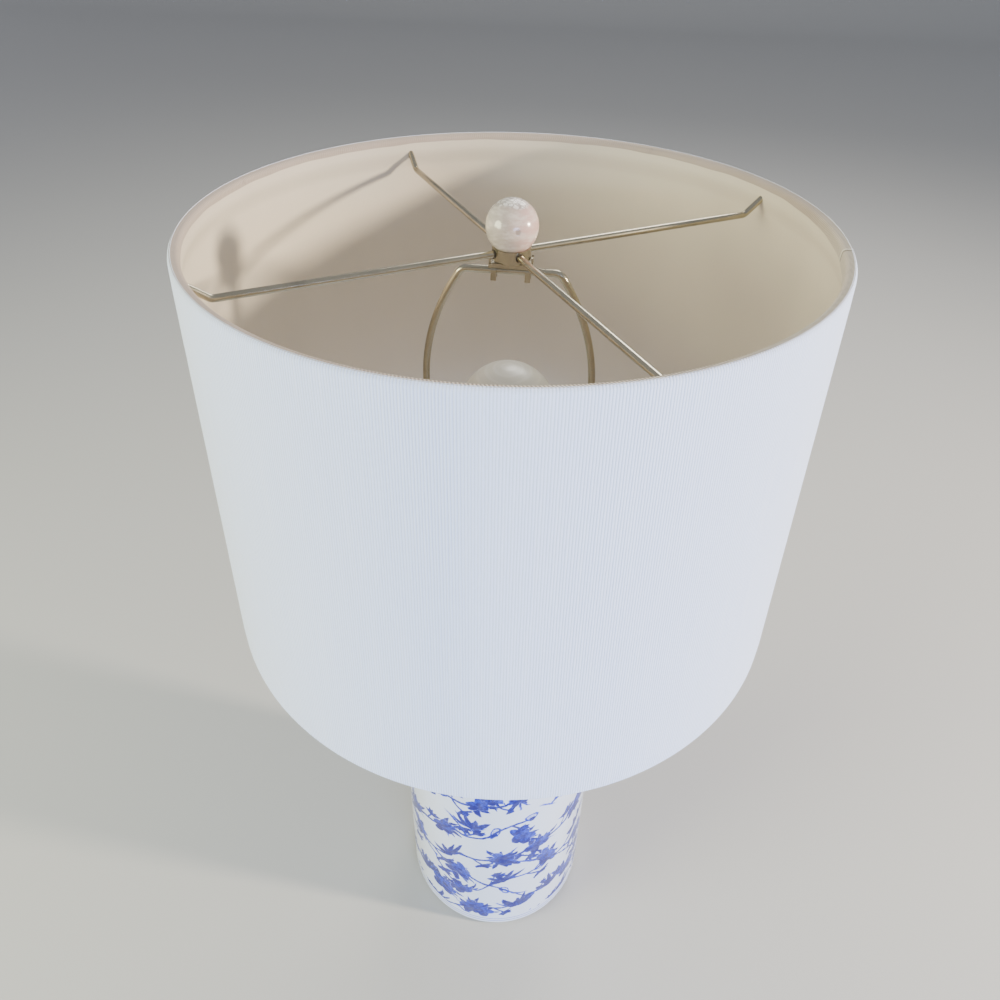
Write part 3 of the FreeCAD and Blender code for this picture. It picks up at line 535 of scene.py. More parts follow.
def liner_finish():
    """Matt stiff sheet, warm grey, with a faint tooth."""
    f = Finish("grey_liner")
    cloud = f.noise(f.stretched(9, 9, 5), 1.0, 3.0)
    grain = f.noise(f.place(), 1500.0, 3.0, 0.7)
    tone = f.mix(f.rise(cloud, 0.3, 0.7), colours().liner, darker(colours().liner, 0.92))
    return f.surface(
        Base_Color=f.mix(grain * 0.2, tone, darker(colours().liner, 0.8)),
        Roughness=0.6 + grain * 0.15,
        Normal=f.bump(grain, 0.00008, 0.35),
    )


# ---------------------------------------------------------------- finishes of cloth and tape


def cloth_finish():
    """White cloth with close upright ribs of uneven yarns, and painted shade between the ribs."""
    f = Finish("ribbed_cloth")
    angle, _, z = f.around()
    count = round(TURN * SHADE_FOOT_RADIUS / sizes().rib_pitch)
    slub = f.noise(f.joined(angle * 70.0, z * 55.0), 1.0, 3.0, 0.6)
    yarn = f.noise(f.joined(angle * (count / 4), z * 12.0), 1.0, 2.0)
    ribs = f.math("ABSOLUTE", f.math("SINE", angle * (count / 2) + slub * 1.2))
    picks = f.math("ABSOLUTE", f.math("SINE", z * (math.pi / PICK_PITCH) + yarn * 5.0))
    weave = ribs * 0.7 + picks * ribs * 0.3
    # Darker between the ribs and picks: painted shade in the weave's grooves. The pale yarns are
    # the cloth's own.
    tone = f.mix(f.rise(weave, 0.0, 0.7), darker(colours().cloth, 0.74), colours().cloth)
    return f.surface(
        Base_Color=f.mix(f.rise(yarn, 0.35, 0.75) * 0.15, tone, (0.95, 0.95, 0.95)),
        Roughness=0.86,
        Sheen_Weight=0.1,
        Normal=f.bump(weave, 0.0004, 0.6),
    )


def tape_finish():
    """Woven edge tape with a few scuffs. Its slanted ribs carry painted highlights on their crests
    and painted shade in their grooves on the lit front right side, and fade out elsewhere.
    """
    f = Finish("woven_tape")
    angle, away, z = f.around()
    count = round(TURN * sizes().shade_top_radius / sizes().tape_rib_pitch)
    ribs = f.math("SINE", angle * count + (z - away) * 2200.0) * 0.5 + 0.5
    wear = f.noise(f.place(), 45.0, 4.0, 0.6)
    scuff = f.noise(f.place(), 90.0, 4.0, 0.7)
    fuzz = f.noise(f.place(), 1400.0, 3.0)
    x, y, _ = f.parts(f.place())
    # Painted light: the ribs' pale crests and dark grooves show only at the front right, the side
    # the light falls on.
    wear_and_unlit_side = f.rise(x - y + wear * 0.1, 0.24, 0.16)
    ribs_with_highlights = f.mix(f.rise(ribs, 0.2, 0.9), darker(colours().tape, 0.8), (0.80, 0.72, 0.60))
    tone = f.mix(wear_and_unlit_side * 0.85, ribs_with_highlights, colours().tape)
    pale = f.mix(f.rise(wear, 0.35, 0.7) * 0.35, tone, (0.44, 0.35, 0.32))
    joint = angle - (sizes().lap_azimuth + TURN / 4) + (away - sizes().shade_top_radius) * 3.0
    seam = f.rise(f.math("ABSOLUTE", joint), 0.006, 0.003)
    cream = f.rise(f.math("ABSOLUTE", joint - 0.009), 0.008, 0.002) * 0.6
    edged = f.mix(cream, pale, (0.86, 0.82, 0.72))
    marked = f.most(seam * 0.8, f.rise(scuff, 0.6, 0.75) * 0.45)
    return f.surface(
        Base_Color=f.mix(marked, edged, (0.16, 0.13, 0.10)),
        Roughness=0.88,
        Sheen_Weight=0.1,
        Normal=f.bump(ribs * (1.0 - wear_and_unlit_side * 0.7) + fuzz * 0.3, 0.0004, 0.8),
    )


# ---------------------------------------------------------------- the finial's stone


def stone_finish():
    """Polished pinkish stone with thin veins, a pit and a paler crackled cap. The cap is partly
    the stone's own colour and partly a painted highlight from the light above.
    """
    f = Finish("polished_stone")
    spot = f.vector("SUBTRACT", f.place(), (0.0, 0.0, BALL_HEIGHT))
    sway = f.spread(f.noise(spot, 70.0, 3.0, output="Color"), 0.006)
    bent = f.vector("ADD", spot, sway)
    x, _, z = f.parts(spot)
    cloud = f.noise(bent, 75.0, 5.0, 0.6)
    layer = f.noise(f.vector("MULTIPLY", bent, (1.0, 1.0, 3.2)), 90.0, 5.0, 0.65)
    settings = {"feature": "DISTANCE_TO_EDGE"}
    cracks = f.node("ShaderNodeTexVoronoi", settings, {"Vector": bent, "Scale": 380.0})
    blush = f.rise(x + cloud * 0.012, 0.004, 0.018)
    pink = f.mix(blush * 0.7, colours().stone, (0.66, 0.40, 0.36))
    grey = f.mix(f.rise(x, 0.002, -0.012) * 0.6, pink, (0.42, 0.41, 0.37))
    milky = f.mix(f.rise(layer, 0.40, 0.66) * 0.7, grey, (0.70, 0.62, 0.55))
    height = z + cloud * 0.006
    # Paler cap on top: partly the stone's own colour, partly a painted highlight from the light
    # above.
    cap_and_highlight = f.rise(height, BALL_RADIUS * 0.98, BALL_RADIUS * 1.08)
    crackled = f.mix(f.rise(cracks, 0.16, 0.04) * 0.8, (0.82, 0.79, 0.75), (0.24, 0.20, 0.18))
    pit_place = Vector((0.32, -0.94, 0.11)).normalized() * BALL_RADIUS
    pit = f.rise(f.vector("DISTANCE", spot, tuple(pit_place), output="Value"), 0.0019, 0.0009)
    stone = f.mix(cap_and_highlight * 0.8, milky, crackled)
    return f.surface(
        Base_Color=f.mix(pit * 0.75, stone, (0.24, 0.18, 0.14)),
        Roughness=0.14 + cloud * 0.1 + pit * 0.3 + cap_and_highlight * 0.15,
        Coat_Weight=0.5,
        Coat_Roughness=0.05,
        Normal=f.bump(cloud * 0.4 - pit - cap_and_highlight * f.rise(cracks, 0.16, 0.0), 0.0005, 0.4),
    )


# ---------------------------------------------------------------- the jar's glaze and painting


def turned_by(f, x, y, angle):
    """A flat point turned by an angle."""
    cosine, sine = f.math("COSINE", angle), f.math("SINE", angle)
    return x * cosine + y * sine, y * cosine - x * sine


def stroke(f, x, y, length, width):
    """A brush stroke along +X that tapers to both ends; above 0 inside, in brush widths."""
    share = f.math("MINIMUM", f.math("MAXIMUM", x / length, 0.0), 1.0)
    half = share * (1.0 - share) * (4.0 * width)
    beyond = f.math("MAXIMUM", f.math("ABSOLUTE", x - length * 0.5) - length * 0.5, 0.0)
    return half - f.math("ABSOLUTE", y) - beyond


def twig(f, x, y, length, width):
    """A thin line along +X from the start; above 0 inside, in brush widths."""
    beyond = f.math("MAXIMUM", f.math("ABSOLUTE", x - length * 0.5) - length * 0.5, 0.0)
    return width - f.math("SQRT", y * y + beyond * beyond)


def blossom(f, x, y, radius, seed):
    """A five-petalled flower drawn as a mottled wash, deeper on its under side."""
    away = f.math("SQRT", x * x + y * y)
    around = f.math("ARCTAN2", y, x) + seed * TURN
    petals = f.math("ABSOLUTE", f.math("COSINE", around * 2.5))
    inside = radius * (0.66 + petals * 0.36) - away
    rays = f.math("ABSOLUTE", f.math("SINE", around * 11.0 + away * 0.9))
    shade = 0.5 + rays * 0.24 + f.rise(y + x * 0.5, 2.0, -9.0) * 0.45
    heart = f.rise(away, 2.2, 1.0) * 0.5
    return f.rise(inside, -0.7, 0.9) * (shade + heart)


def leaf_fan(f, x, y, length, seed):
    """Pointed leaves side by side, like an open hand."""
    away = f.math("SQRT", x * x + y * y)
    around = f.math("ARCTAN2", y, x)
    leaf_angle = 0.46
    fold = f.math("PINGPONG", around + seed * 0.6, leaf_angle / 2)
    uneven = 0.72 + f.math("ABSOLUTE", f.math("SINE", around * 2.7 + seed * 9.0)) * 0.4
    leaf = stroke(f, away * f.math("COSINE", fold), away * f.math("SINE", fold),
                  length * uneven, 1.9)
    hand = f.rise(f.math("ABSOLUTE", around), 1.35, 1.05)
    return f.rise(leaf, -0.5, 0.7) * hand


def bud(f, x, y, radius):
    """A round bud: an outline with a dark cup at its foot."""
    away = f.math("SQRT", x * x + y * y)
    outline = f.rise(f.math("ABSOLUTE", away - radius), 0.9, 0.3) * 0.5
    cup_x = x + radius * 0.7
    cup = f.rise(f.math("SQRT", cup_x * cup_x + y * y), radius * 0.75, radius * 0.4)
    wash = f.rise(away, radius, radius * 0.7) * 0.16
    return f.most(outline, cup, wash)


def motif(f, x, y, chances, slant):
    """A blossom, a fan of leaves or a bud; a falling branch holds only some of them."""
    first, second, third = chances
    x, y = x + (first - 0.5) * 6.0, y + (second - 0.5) * 4.0
    flower = blossom(f, x, y, 7.2 + third * 2.8, second)
    lean = (first - 0.5) * 2.6 + 0.5
    fan_x, fan_y = turned_by(f, x, y, lean)
    leaves = leaf_fan(f, fan_x + 3.0, fan_y, 16.0, third)
    bud_x, bud_y = turned_by(f, x, y, lean + 1.0)
    closed = bud(f, bud_x - 4.0, bud_y, 3.6)
    is_leaf = f.math("GREATER_THAN", second, 0.58)
    is_bud = f.math("GREATER_THAN", second, 0.86)
    backed = f.most(flower, leaves * f.rise(flower, 0.2, 0.05))
    drawn = backed * (1.0 - is_leaf) + leaves * (is_leaf - is_bud) + closed * is_bud
    return drawn if slant > 0 else drawn * f.math("GREATER_THAN", third, 0.55)


def side_twig(f, x, y, chances, slant):
    """A short twig to one side of the branch, with a sprig of leaves on its end."""
    first, second, third = chances
    side = f.math("SIGN", first - 0.5)
    x, y = turned_by(f, x, y, side * (0.65 + second * 0.5))
    reach = 7.0 + third * 5.0
    line = f.rise(twig(f, x, y, reach, 0.8), -0.3, 0.4) * 0.7
    sprig = leaf_fan(f, x - reach, y, 6.0 + second * 3.0, third) * 0.85
    drawn = f.most(line, sprig)
    return drawn if slant > 0 else drawn * f.math("GREATER_THAN", second, 0.55)


def branch_painting(f, angle, up, around, starts, slant=1):
    """How deep the blue is on branches that rise side by side as they wind round the jar.

    The height up and the way once around are in brush widths. With a slant of -1 the
    branches fall instead, and are sparse.
    """
    row_height = sizes().branch_pitch / sizes().brush
    motifs_round = round(around * sizes().brush / sizes().motif_pitch)
    motif_room = around / motifs_round
    level = up / row_height - angle * (slant * starts / TURN) + 0.5 * slant
    row = f.math("FLOOR", level)
    run = angle * (motifs_round / TURN) + row * (slant * motifs_round / starts)
    off = (level - row - 0.5) * row_height - f.drift(run, 0.55) * row_height
    start = -0.13 if slant > 0 else 0.04
    unbroken = f.rise(f.drift(run, 0.45), start - 0.03, start + 0.03)
    stem = f.rise(f.math("ABSOLUTE", off), 1.5, 0.6) * 0.72 * unbroken
    cell = f.math("FLOOR", run)
    along = (run - cell - 0.5) * motif_room
    motifs = motif(f, along, off, f.chances(cell + 0.37 * slant), slant)
    between = f.math("FLOOR", run + 0.5)
    along = (run - between) * motif_room
    twigs = side_twig(f, along, off, f.chances(between + 37.0), slant)
    return f.most(stem, motifs, twigs)


def porcelain_finish(name, radius, starts, base_line, rim_line):
    """White glaze over blue branches, between border lines at two heights in millimetres."""
    f = Finish(name)
    angle, away, z = f.around()
    brush = sizes().brush
    spot = f.spread(f.place(), 1 / brush)
    wobble = f.vector("SUBTRACT", f.noise(spot, 0.35, 2.0, output="Color"), (0.5, 0.5, 0.5))
    slow = f.vector("SUBTRACT", f.noise(spot, 0.04, 1.0, output="Color"), (0.5, 0.5, 0.5))
    wobble_x, wobble_y, _ = f.parts(wobble)
    slow_x, slow_y, _ = f.parts(slow)
    up = (z - away) / brush + wobble_y * 1.6 + slow_y * 12.0
    bent = angle + (wobble_x * 1.6 + slow_x * 12.0) * (brush / radius)
    once_round = TURN * radius / brush
    deep = f.most(branch_painting(f, bent, up, once_round, starts),
                  branch_painting(f, bent, up, once_round, starts, -1) * 0.9)
    mottle = f.noise(spot, 0.5, 4.0, 0.65)
    pooled = deep * (0.7 + f.rise(mottle, 0.38, 0.62) * 0.6)
    height = z / MM
    inside = f.rise(height, base_line + 3.0, base_line + 6.0)
    inside = inside * f.rise(height, rim_line - 3.0, rim_line - 6.0)
    pooled = pooled * inside
    border = (base_line, base_line - 4.5, rim_line, rim_line + 2.6)
    rules = [f.rise(f.math("ABSOLUTE", height - line + wobble_y * 0.4), 1.1, 0.4) * 0.24
             for line in border]
    blue = f.most(pooled, *rules)
    tone = f.mix(f.rise(blue, 0.0, 0.38), colours().glaze, colours().wash)
    tone = f.mix(f.rise(blue, 0.36, 0.9), tone, colours().cobalt)
    speck = f.noise(spot, 0.18, 3.0)
    ripple = f.noise(spot, 0.05, 1.0)
    return f.surface(
        Base_Color=f.mix(f.rise(speck, 0.35, 0.8) * 0.08, tone, (0.62, 0.66, 0.62)),
        Roughness=0.1 + speck * 0.08,
        Specular_IOR_Level=0.25,
        Coat_Weight=0.1,
        Coat_Roughness=0.04,
        Normal=f.bump(speck * 0.5 + ripple, 0.0004, 0.3),
    )


# ---------------------------------------------------------------- modelling


def clear_choice():
    """Leaves edit mode and selects nothing."""
    if bpy.context.mode != "OBJECT":
        bpy.ops.object.mode_set(mode="OBJECT")
    bpy.ops.object.select_all(action="DESELECT")


def settle(piece, name, finish, body):
    """Names a piece, puts its place in its mesh, smooths it and lets it ride on its body."""
    clear_choice()
    piece.name = name
    piece.data.name = name
    piece.select_set(True)
    bpy.context.view_layer.objects.active = piece
    bpy.ops.object.transform_apply(location=True, rotation=True, scale=True)
    bpy.ops.object.shade_smooth_by_angle(angle=SMOOTH_ANGLE)
    piece.data.materials.clear()
    piece.data.materials.append(finish)
    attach(piece, body)
    return piece


def lathe(outline, segments, closed=False):
    """Turns an outline of (radius, height) points, one extruded ring after another."""
    clear_choice()
    radius, height = outline[0]
    bpy.ops.mesh.primitive_circle_add(vertices=segments, radius=radius, location=(0, 0, height))
    bpy.ops.object.transform_apply(location=True, rotation=False, scale=False)
    bpy.ops.object.mode_set(mode="EDIT")
    bpy.ops.mesh.select_all(action="SELECT")
    for next_radius, next_height in outline[1:] + (outline[:1] if closed else []):
        bpy.ops.mesh.extrude_region_move(
            TRANSFORM_OT_translate={"value": (0, 0, next_height - height)})
        scale = next_radius / radius
        bpy.ops.transform.resize(value=(scale, scale, 1), center_override=(0, 0, next_height))
        radius, height = next_radius, next_height
    bpy.ops.mesh.select_all(action="SELECT")
    bpy.ops.mesh.remove_doubles(threshold=2e-6)
    bpy.ops.mesh.normals_make_consistent(inside=False)
    bpy.ops.object.mode_set(mode="OBJECT")
    return bpy.context.object


def arc(centre, radius, first, last, count):
    """Points of a circle in the outline's plane, with angles in degrees."""
    angles = [math.radians(first + (last - first) * step / count) for step in range(count + 1)]
    return [(centre[0] + radius * math.cos(a), centre[1] + radius * math.sin(a)) for a in angles]


def cone_radius(height, foot_radius):
    """Radius at a height of a cone that runs beside the outer cloth."""
    slope = (SHADE_FOOT_RADIUS - sizes().shade_top_radius) / (SHADE_HIGH - SHADE_LOW)
    return foot_radius - (height - SHADE_LOW) * slope


def roll_middle(node):
    """Radius and height of the middle of a rolled edge, from the trim's box."""
    bend = sizes().roll_round
    if node == "trim_top":
        return high(node).x - bend, high(node).z - bend
    return high(node).x - bend, low(node).z + bend


def liner_radius(height):
    """Radius of the liner's inner face at a height."""
    return cone_radius(height + SHADE_LOW - LINER_LOW, LINER_FOOT_INSIDE)


def curved_patch(across, rows, lay, thickness):
    """A grid laid on a curved surface by lay(u, v), u and v from 0 to 1, then given a wall."""
    clear_choice()
    bpy.ops.mesh.primitive_grid_add(x_subdivisions=across, y_subdivisions=rows, size=1)
    patch = bpy.context.object
    for vertex in patch.data.vertices:
        vertex.co = lay(vertex.co.x + 0.5, vertex.co.y + 0.5)
    wall = patch.modifiers.new("wall", "SOLIDIFY")
    wall.thickness = thickness
    wall.offset = 1.0
    bpy.ops.object.modifier_apply(modifier=wall.name)
    bpy.ops.object.mode_set(mode="EDIT")
    bpy.ops.mesh.select_all(action="SELECT")
    bpy.ops.mesh.normals_make_consistent(inside=False)
    bpy.ops.object.mode_set(mode="OBJECT")
    return patch


def on_circle(radius, azimuth, height):
    return Vector((radius * math.cos(azimuth), radius * math.sin(azimuth), height))


# ---------------------------------------------------------------- operators


class LAMP_OT_stage(Operator):
    """Sets the floor, the lights and the camera"""

    bl_idname = "lamp.stage"
    bl_label = "Stage"

    def execute(self, context):
        clear_choice()
        bpy.ops.mesh.primitive_plane_add(size=FLOOR_SIZE, location=(0, FLOOR_SHIFT, 0))
        floor = context.object
        floor.name = "floor"
        bpy.ops.object.transform_apply(location=True, rotation=True, scale=True)
        bpy.ops.object.mode_set(mode="EDIT")
        bpy.ops.mesh.select_mode(type="EDGE")
        bpy.ops.mesh.select_all(action="DESELECT")
        bpy.ops.object.mode_set(mode="OBJECT")
        back = FLOOR_SHIFT + FLOOR_SIZE / 2
        for edge in floor.data.edges:
            ends = [floor.data.vertices[index].co.y for index in edge.vertices]
            edge.select = min(ends) > back - 0.1
        bpy.ops.object.mode_set(mode="EDIT")
        bpy.ops.mesh.extrude_region_move(
            TRANSFORM_OT_translate={"value": (0, 0, BACKDROP_HEIGHT)})
        bpy.ops.object.mode_set(mode="OBJECT")
        bend = floor.modifiers.new("bend", "BEVEL")
        bend.width = FLOOR_BEND
        bend.segments = 24
        bpy.ops.object.modifier_apply(modifier=bend.name)
        bpy.ops.object.shade_smooth()
        f = Finish("plain_floor")
        cloud = f.noise(f.place(), 3.0, 3.0)
        tone = f.mix(cloud * 0.2, colours().floor, darker(colours().floor, 0.95))
        floor.data.materials.append(f.surface(Base_Color=tone, Roughness=0.7))
        self.lights(context)
        self.camera(context)
        return {"FINISHED"}

    def lights(self, context):
        middle = Vector((0, 0, 0.4))
        rig = {
            "window": (Vector((2.1, -0.19, 1.1)), 0.18, 100.0, (1.0, 0.88, 0.68)),
            "room": (Vector((-1.7, -1.0, 1.0)), 1.2, 64.0, (1.0, 1.0, 0.66)),
            "front": (Vector((0.9, -2.0, 0.45)), 1.4, 90.0, (0.44, 0.60, 1.0)),
            "back": (Vector((0.3, 1.7, 2.0)), 1.2, 32.0, (1.0, 0.98, 0.93)),
        }
        for name, (place, size, power, colour) in rig.items():
            clear_choice()
            bpy.ops.object.light_add(type="AREA", location=place)
            lamp = context.object
            lamp.name = name
            lamp.data.shape = "DISK"
            lamp.data.size = size
            lamp.data.energy = power
            lamp.data.color = colour
            lamp.rotation_mode = "QUATERNION"
            lamp.rotation_quaternion = (middle - place).to_track_quat("-Z", "Y")
        world = bpy.data.worlds.new("studio")
        world.use_nodes = True
        world.node_tree.nodes["Background"].inputs["Color"].default_value = (0.9, 0.93, 1.0, 1.0)
        world.node_tree.nodes["Background"].inputs["Strength"].default_value = 0.55
        context.scene.world = world

    def camera(self, context):
        clear_choice()
        bpy.ops.object.camera_add()
        camera = context.object
        set_up = context.scene.lamp_camera
        ahead = Vector((-math.sin(set_up.yaw), math.cos(set_up.yaw), 0))
        level = Vector((math.cos(set_up.yaw), math.sin(set_up.yaw), 0))
        sight = ahead * math.cos(set_up.pitch) - Vector((0, 0, math.sin(set_up.pitch)))
        above = ahead * math.sin(set_up.pitch) + Vector((0, 0, math.cos(set_up.pitch)))
        right = level * math.cos(set_up.roll) + above * math.sin(set_up.roll)
        top = above * math.cos(set_up.roll) - level * math.sin(set_up.roll)
        camera.matrix_world = Matrix((right, top, -sight)).transposed().to_4x4()
        camera.location = set_up.place
        camera.data.sensor_width = 36.0
        camera.data.lens = set_up.lens
        camera.data.clip_start = 0.01
        context.scene.camera = camera


class LAMP_OT_finishes(Operator):
    """Gives every rigid part its finish"""

    bl_idname = "lamp.finishes"
    bl_label = "Finishes of the rigid parts"

    def execute(self, context):
        made = {
            "brushed_nickel": nickel_finish(),
            "zinc_steel": zinc_finish(),
            "brass_sheet": brass_finish(),
            "bulb_metal": contact_finish(),
            "ring_steel": steel_finish(),
            "phenolic": phenolic_finish(),
            "fibre_board": fibre_finish(),
            "bushing_plastic": bushing_finish(),
            "bulb_body": bulb_body_finish(),
            "bulb_diffuser": diffuser_finish(),
            "liner_sheet": liner_finish(),
            "veined_stone": stone_finish(),
        }
        for node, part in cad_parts.items():
            slot = part.data.materials[0].name
            if slot in made:
                give(node, made[slot])
        give("harp_stud", threaded_finish(
            "stud_thread", colours().nickel, STUD_THREAD, 0.0003))
        give("lamp_pipe", threaded_finish(
            "pipe_thread", (0.52, 0.53, 0.52), STUD_THREAD, 0.0003))
        give("bulb_base", threaded_finish(
            "bulb_thread", (0.66, 0.66, 0.64), BULB_THREAD, 0.0014))
        give("socket_screw_shell", threaded_finish(
            "shell_thread", (0.66, 0.47, 0.19), BULB_THREAD, 0.0012))
        return {"FINISHED"}


def give(node, finish):
    """A CAD node takes a finish; its mesh stays as it is."""
    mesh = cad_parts[node].data
    mesh.materials.clear()
    mesh.materials.append(finish)


class LAMP_OT_porcelain(Operator):
    """Glazes and paints the jar and its lid"""

    bl_idname = "lamp.porcelain"
    bl_label = "Porcelain"

    def execute(self, context):
        give("jar_body", porcelain_finish(
            "painted_jar", JAR_FOOT_RADIUS, starts=4,
            base_line=JAR_LOW / MM + 12.0, rim_line=LID_LOW / MM - 4.0))
        give("jar_lid", porcelain_finish(
            "painted_lid", LID_RADIUS, starts=2,
            base_line=LID_LOW / MM + 5.0, rim_line=LID_HIGH / MM - 6.0))
        return {"FINISHED"}


class LAMP_OT_shade(Operator):
    """Makes the outer cloth and the laps where its ends and the liner's meet"""

    bl_idname = "lamp.shade"
    bl_label = "Shade cloth"

    def execute(self, context):
        thickness = sizes().cloth_thickness
        bend = sizes().roll_round
        turned_in = math.degrees(sizes().tape_start) + UNDER_TAPE
        outside = self.face(0.0, turned_in)
        inside = self.face(thickness, turned_in)
        cloth = cloth_finish()
        skin = settle(lathe(outside + inside[::-1], SHADE_SEGMENTS, closed=True),
                      "cloth_cover", cloth, "shade")
        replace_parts(skin, "shade_fabric")
        start = sizes().lap_azimuth
        width = sizes().lap_width / SHADE_FOOT_RADIUS
        low_edge, high_edge = SHADE_LOW + bend, SHADE_HIGH - bend

        def outside_lap(u, v):
            height = low_edge + (high_edge - low_edge) * v
            return on_circle(cone_radius(height, SHADE_FOOT_RADIUS) - 0.1 * MM,
                             start - u * width, height)

        settle(curved_patch(8, 25, outside_lap, 0.45 * MM), "cloth_lap", cloth,
               "shade")

        def inside_lap(u, v):
            height = LINER_LOW + (LINER_HIGH - LINER_LOW) * v
            return on_circle(liner_radius(height) - 0.35 * MM,
                             start - u * width * 1.6, height)

        settle(curved_patch(8, 25, inside_lap, 0.4 * MM), "liner_lap",
               bpy.data.materials["grey_liner"], "shade")
        return {"FINISHED"}

    def face(self, inset, turned_in):
        """One face of the cloth from the bottom edge to the top, turned in over both."""
        under, over = roll_middle("trim_bottom"), roll_middle("trim_top")
        bend = sizes().roll_round + sizes().cloth_thickness + LAYER_GAP - inset
        steps = 24
        heights = [under[1] + (over[1] - under[1]) * step / steps for step in range(1, steps)]
        wall = [(cone_radius(height, SHADE_FOOT_RADIUS - inset), height) for height in heights]
        return arc(under, bend, -turned_in, 0, 6) + wall + arc(over, bend, 0, turned_in, 6)


class LAMP_OT_tapes(Operator):
    """Rolls the tape over both edges of the shade and laps its ends"""

    bl_idname = "lamp.tapes"
    bl_label = "Edge tapes"

    def execute(self, context):
        tape = tape_finish()
        for name, node, side in (("top_tape", "trim_top", 1),
                                 ("bottom_tape", "trim_bottom", -1)):
            middle = roll_middle(node)
            roll = lathe(self.section(middle, side), SHADE_SEGMENTS, closed=True)
            self.hand_laid(roll, middle, side)
            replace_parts(settle(roll, name, tape, "shade"), node)
            settle(self.lap(middle, side), name + "_lap", tape, "shade")
            settle(self.liner_edge(middle, side), name + "_liner",
                   bpy.data.materials["grey_liner"], "shade")
        return {"FINISHED"}

    def liner_edge(self, middle, side):
        """The liner's edge, which leans in over the ring and ends under the tape."""
        wall, steps = 0.2 * MM, 12
        start = (LINER_HIGH if side > 0 else LINER_LOW) - side * LINER_LEAN_START
        rise = side * LINER_LEAN_RISE
        first, last = liner_radius(start) - wall, self.inner_face(middle) + wall
        shares = [0.5 - 0.5 * math.cos(math.pi * step / steps) for step in range(steps + 1)]
        outline = [(first + (last - first) * share, start + rise * step / steps)
                   for step, share in enumerate(shares)]
        outline.append((last, middle[1]))
        outline += [(radius + wall, height) for radius, height in reversed(outline)]
        return lathe(outline, SHADE_SEGMENTS, closed=True)

    def inner_face(self, middle):
        """Radius of the tape's face where it runs down inside the shade."""
        return middle[0] - sizes().roll_round - LAYER_GAP

    def roll_point(self, middle, side, angle, inset=0.0):
        """A point of the tape's face on the roll, which starts on top of the cloth."""
        off_cloth = (angle - sizes().tape_start) / TAPE_STEP_RUN
        step = max(0.0, 1.0 - off_cloth) ** 2
        bend = sizes().roll_round + LAYER_GAP + step * TAPE_STEP - inset
        return (middle[0] + bend * math.cos(angle), middle[1] + side * bend * math.sin(angle))

    def section(self, middle, side):
        """The tape's cut: over the roll, then down along the liner's edge."""
        wall = sizes().tape_thickness
        first, steps = sizes().tape_start, 20
        angles = [first + (math.pi - first) * step / steps for step in range(steps + 1)]
        foot = middle[1] - side * sizes().tape_drop
        face = self.inner_face(middle)
        over = [self.roll_point(middle, side, angle) for angle in angles]
        under = [self.roll_point(middle, side, angle, wall) for angle in reversed(angles)]
        return over + [(face, foot), (face + wall, foot)] + under

    def hand_laid(self, roll, middle, side):
        """The tape's free edge wanders, and runs further down beside the joint."""
        for vertex in roll.data.vertices:
            drop = (middle[1] - vertex.co.z) * side
            if drop > 0.9 * sizes().tape_drop:
                angle = math.atan2(vertex.co.y, vertex.co.x)
                wander = math.sin(9 * angle) + 0.7 * math.sin(23 * angle + 1)
                wander += 0.5 * math.sin(41 * angle)
                vertex.co.z -= side * (wander * 0.2 * MM + self.widening(angle))

    def widening(self, angle):
        """How much wider the tape is at an angle than on the far side from its joint."""
        near = max(math.cos(angle - sizes().lap_azimuth + 0.25), 0.0)
        return sizes().tape_widening * near ** 6

    def lap(self, middle, side):
        """A second layer over the roll, cut at a slant at both ends."""
        start = sizes().lap_azimuth
        width = sizes().lap_width / middle[0]
        first = sizes().tape_start
        drop = sizes().tape_drop + sizes().tape_widening
        on_roll = 0.7

        def over_roll(u, v):
            azimuth = start - u * width - (1 - v) * width * 0.4
            angle = first + (math.pi - first) * min(v / on_roll, 1.0)
            radius, height = self.roll_point(middle, side, angle)
            height -= side * drop * max(v - on_roll, 0.0) / (1 - on_roll)
            return on_circle(radius, azimuth, height)

        return curved_patch(12, 30, over_roll, 0.7 * MM)


class LAMP_OT_joint_shadows(Operator):
    """Shadows the joints where the arms enter the hub"""

    bl_idname = "lamp.eyelets"
    bl_label = "Arm joints"

    def execute(self, context):
        finish = joint_shadow_finish()
        level = ARM_LOW + ARM_RADIUS
        outer, half = ARM_RADIUS + 0.55 * MM, 0.3 * MM
        outline = [(ARM_RADIUS, -half), (outer, -half), (outer, half), (ARM_RADIUS, half)]
        # Each ring is a dark piece that stands for the shadow where an arm enters the hub.
        for count in range(4):
            azimuth = ARM_AZIMUTH + count * TURN / 4
            ring = lathe(outline, 32, closed=True)
            ring.rotation_euler = (0, math.pi / 2, azimuth)
            ring.location = on_circle(HUB_RADIUS - 0.1 * MM, azimuth, level)
            settle(ring, f"arm_joint_shadow_{count + 1}", finish, "shade")
        return {"FINISHED"}


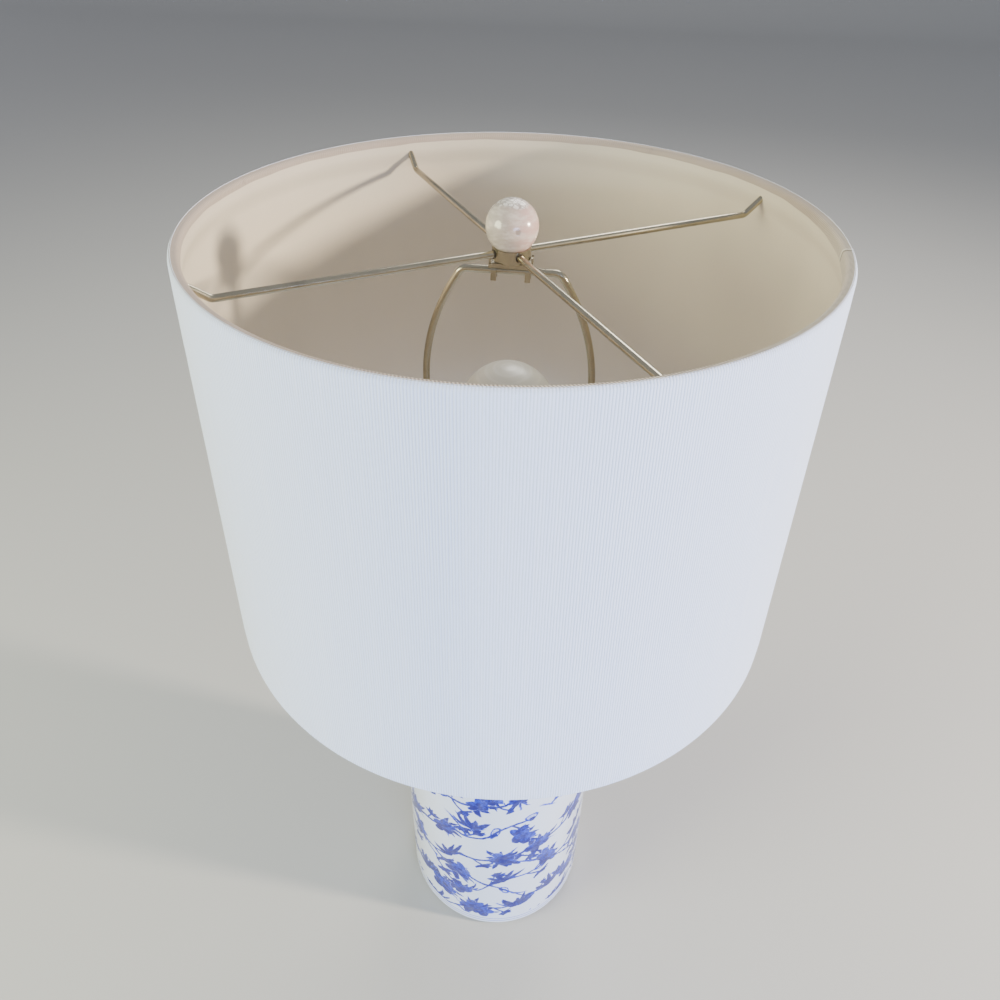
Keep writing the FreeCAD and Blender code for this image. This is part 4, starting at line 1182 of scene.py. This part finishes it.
class LAMP_OT_felt(Operator):
    """Makes the felt pad under the jar"""

    bl_idname = "lamp.felt"
    bl_label = "Felt pad"

    def execute(self, context):
        soft = 0.4 * MM
        edge = FELT_RADIUS - soft
        outline = [(0.4 * edge, FELT_LOW), (edge, FELT_LOW)]
        outline += arc((edge, FELT_LOW + soft), soft, -60, 0, 3)
        outline += arc((edge, FELT_HIGH - soft), soft, 0, 90, 4)
        outline += [(0.4 * edge, FELT_HIGH)]
        pad = lathe(outline, 128)
        bpy.ops.object.mode_set(mode="EDIT")
        bpy.ops.mesh.select_all(action="DESELECT")
        bpy.ops.mesh.select_non_manifold()
        bpy.ops.mesh.edge_face_add()
        bpy.ops.mesh.select_all(action="SELECT")
        bpy.ops.mesh.normals_make_consistent(inside=False)
        bpy.ops.object.mode_set(mode="OBJECT")
        settle(pad, "felt", felt_finish(), "lamp_base")
        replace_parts(pad, "felt_pad")
        return {"FINISHED"}


OPERATORS = (LAMP_OT_stage, LAMP_OT_finishes, LAMP_OT_porcelain, LAMP_OT_shade, LAMP_OT_tapes,
             LAMP_OT_joint_shadows, LAMP_OT_felt)


class LAMP_PT_sidebar(Panel):
    """Lists the steps that dress the lamp"""

    bl_idname = "LAMP_PT_sidebar"
    bl_label = "Ginger Jar Lamp"
    bl_space_type = "VIEW_3D"
    bl_region_type = "UI"
    bl_category = "Jar Lamp"

    def draw(self, context):
        for step in OPERATORS:
            self.layout.operator(step.bl_idname)
        for group_name in GROUPS:
            group = getattr(context.scene, group_name)
            box = self.layout.box()
            for name in group.bl_rna.properties.keys():
                if name not in ("rna_type", "name"):
                    box.prop(group, name)


GROUPS = {"lamp_sizes": LampSizes, "lamp_colours": LampColours, "lamp_camera": LampCamera}


def register():
    for kind in (*GROUPS.values(), *OPERATORS, LAMP_PT_sidebar):
        bpy.utils.register_class(kind)
    for name, group in GROUPS.items():
        setattr(bpy.types.Scene, name, PointerProperty(type=group))


def unregister():
    for name in GROUPS:
        delattr(bpy.types.Scene, name)
    for kind in (LAMP_PT_sidebar, *reversed(OPERATORS), *reversed(GROUPS.values())):
        bpy.utils.unregister_class(kind)


def main():
    register()
    bpy.ops.lamp.stage()
    bpy.ops.lamp.finishes()
    bpy.ops.lamp.porcelain()
    bpy.ops.lamp.shade()
    bpy.ops.lamp.tapes()
    bpy.ops.lamp.eyelets()
    bpy.ops.lamp.felt()


if __name__ == "__main__":
    main()
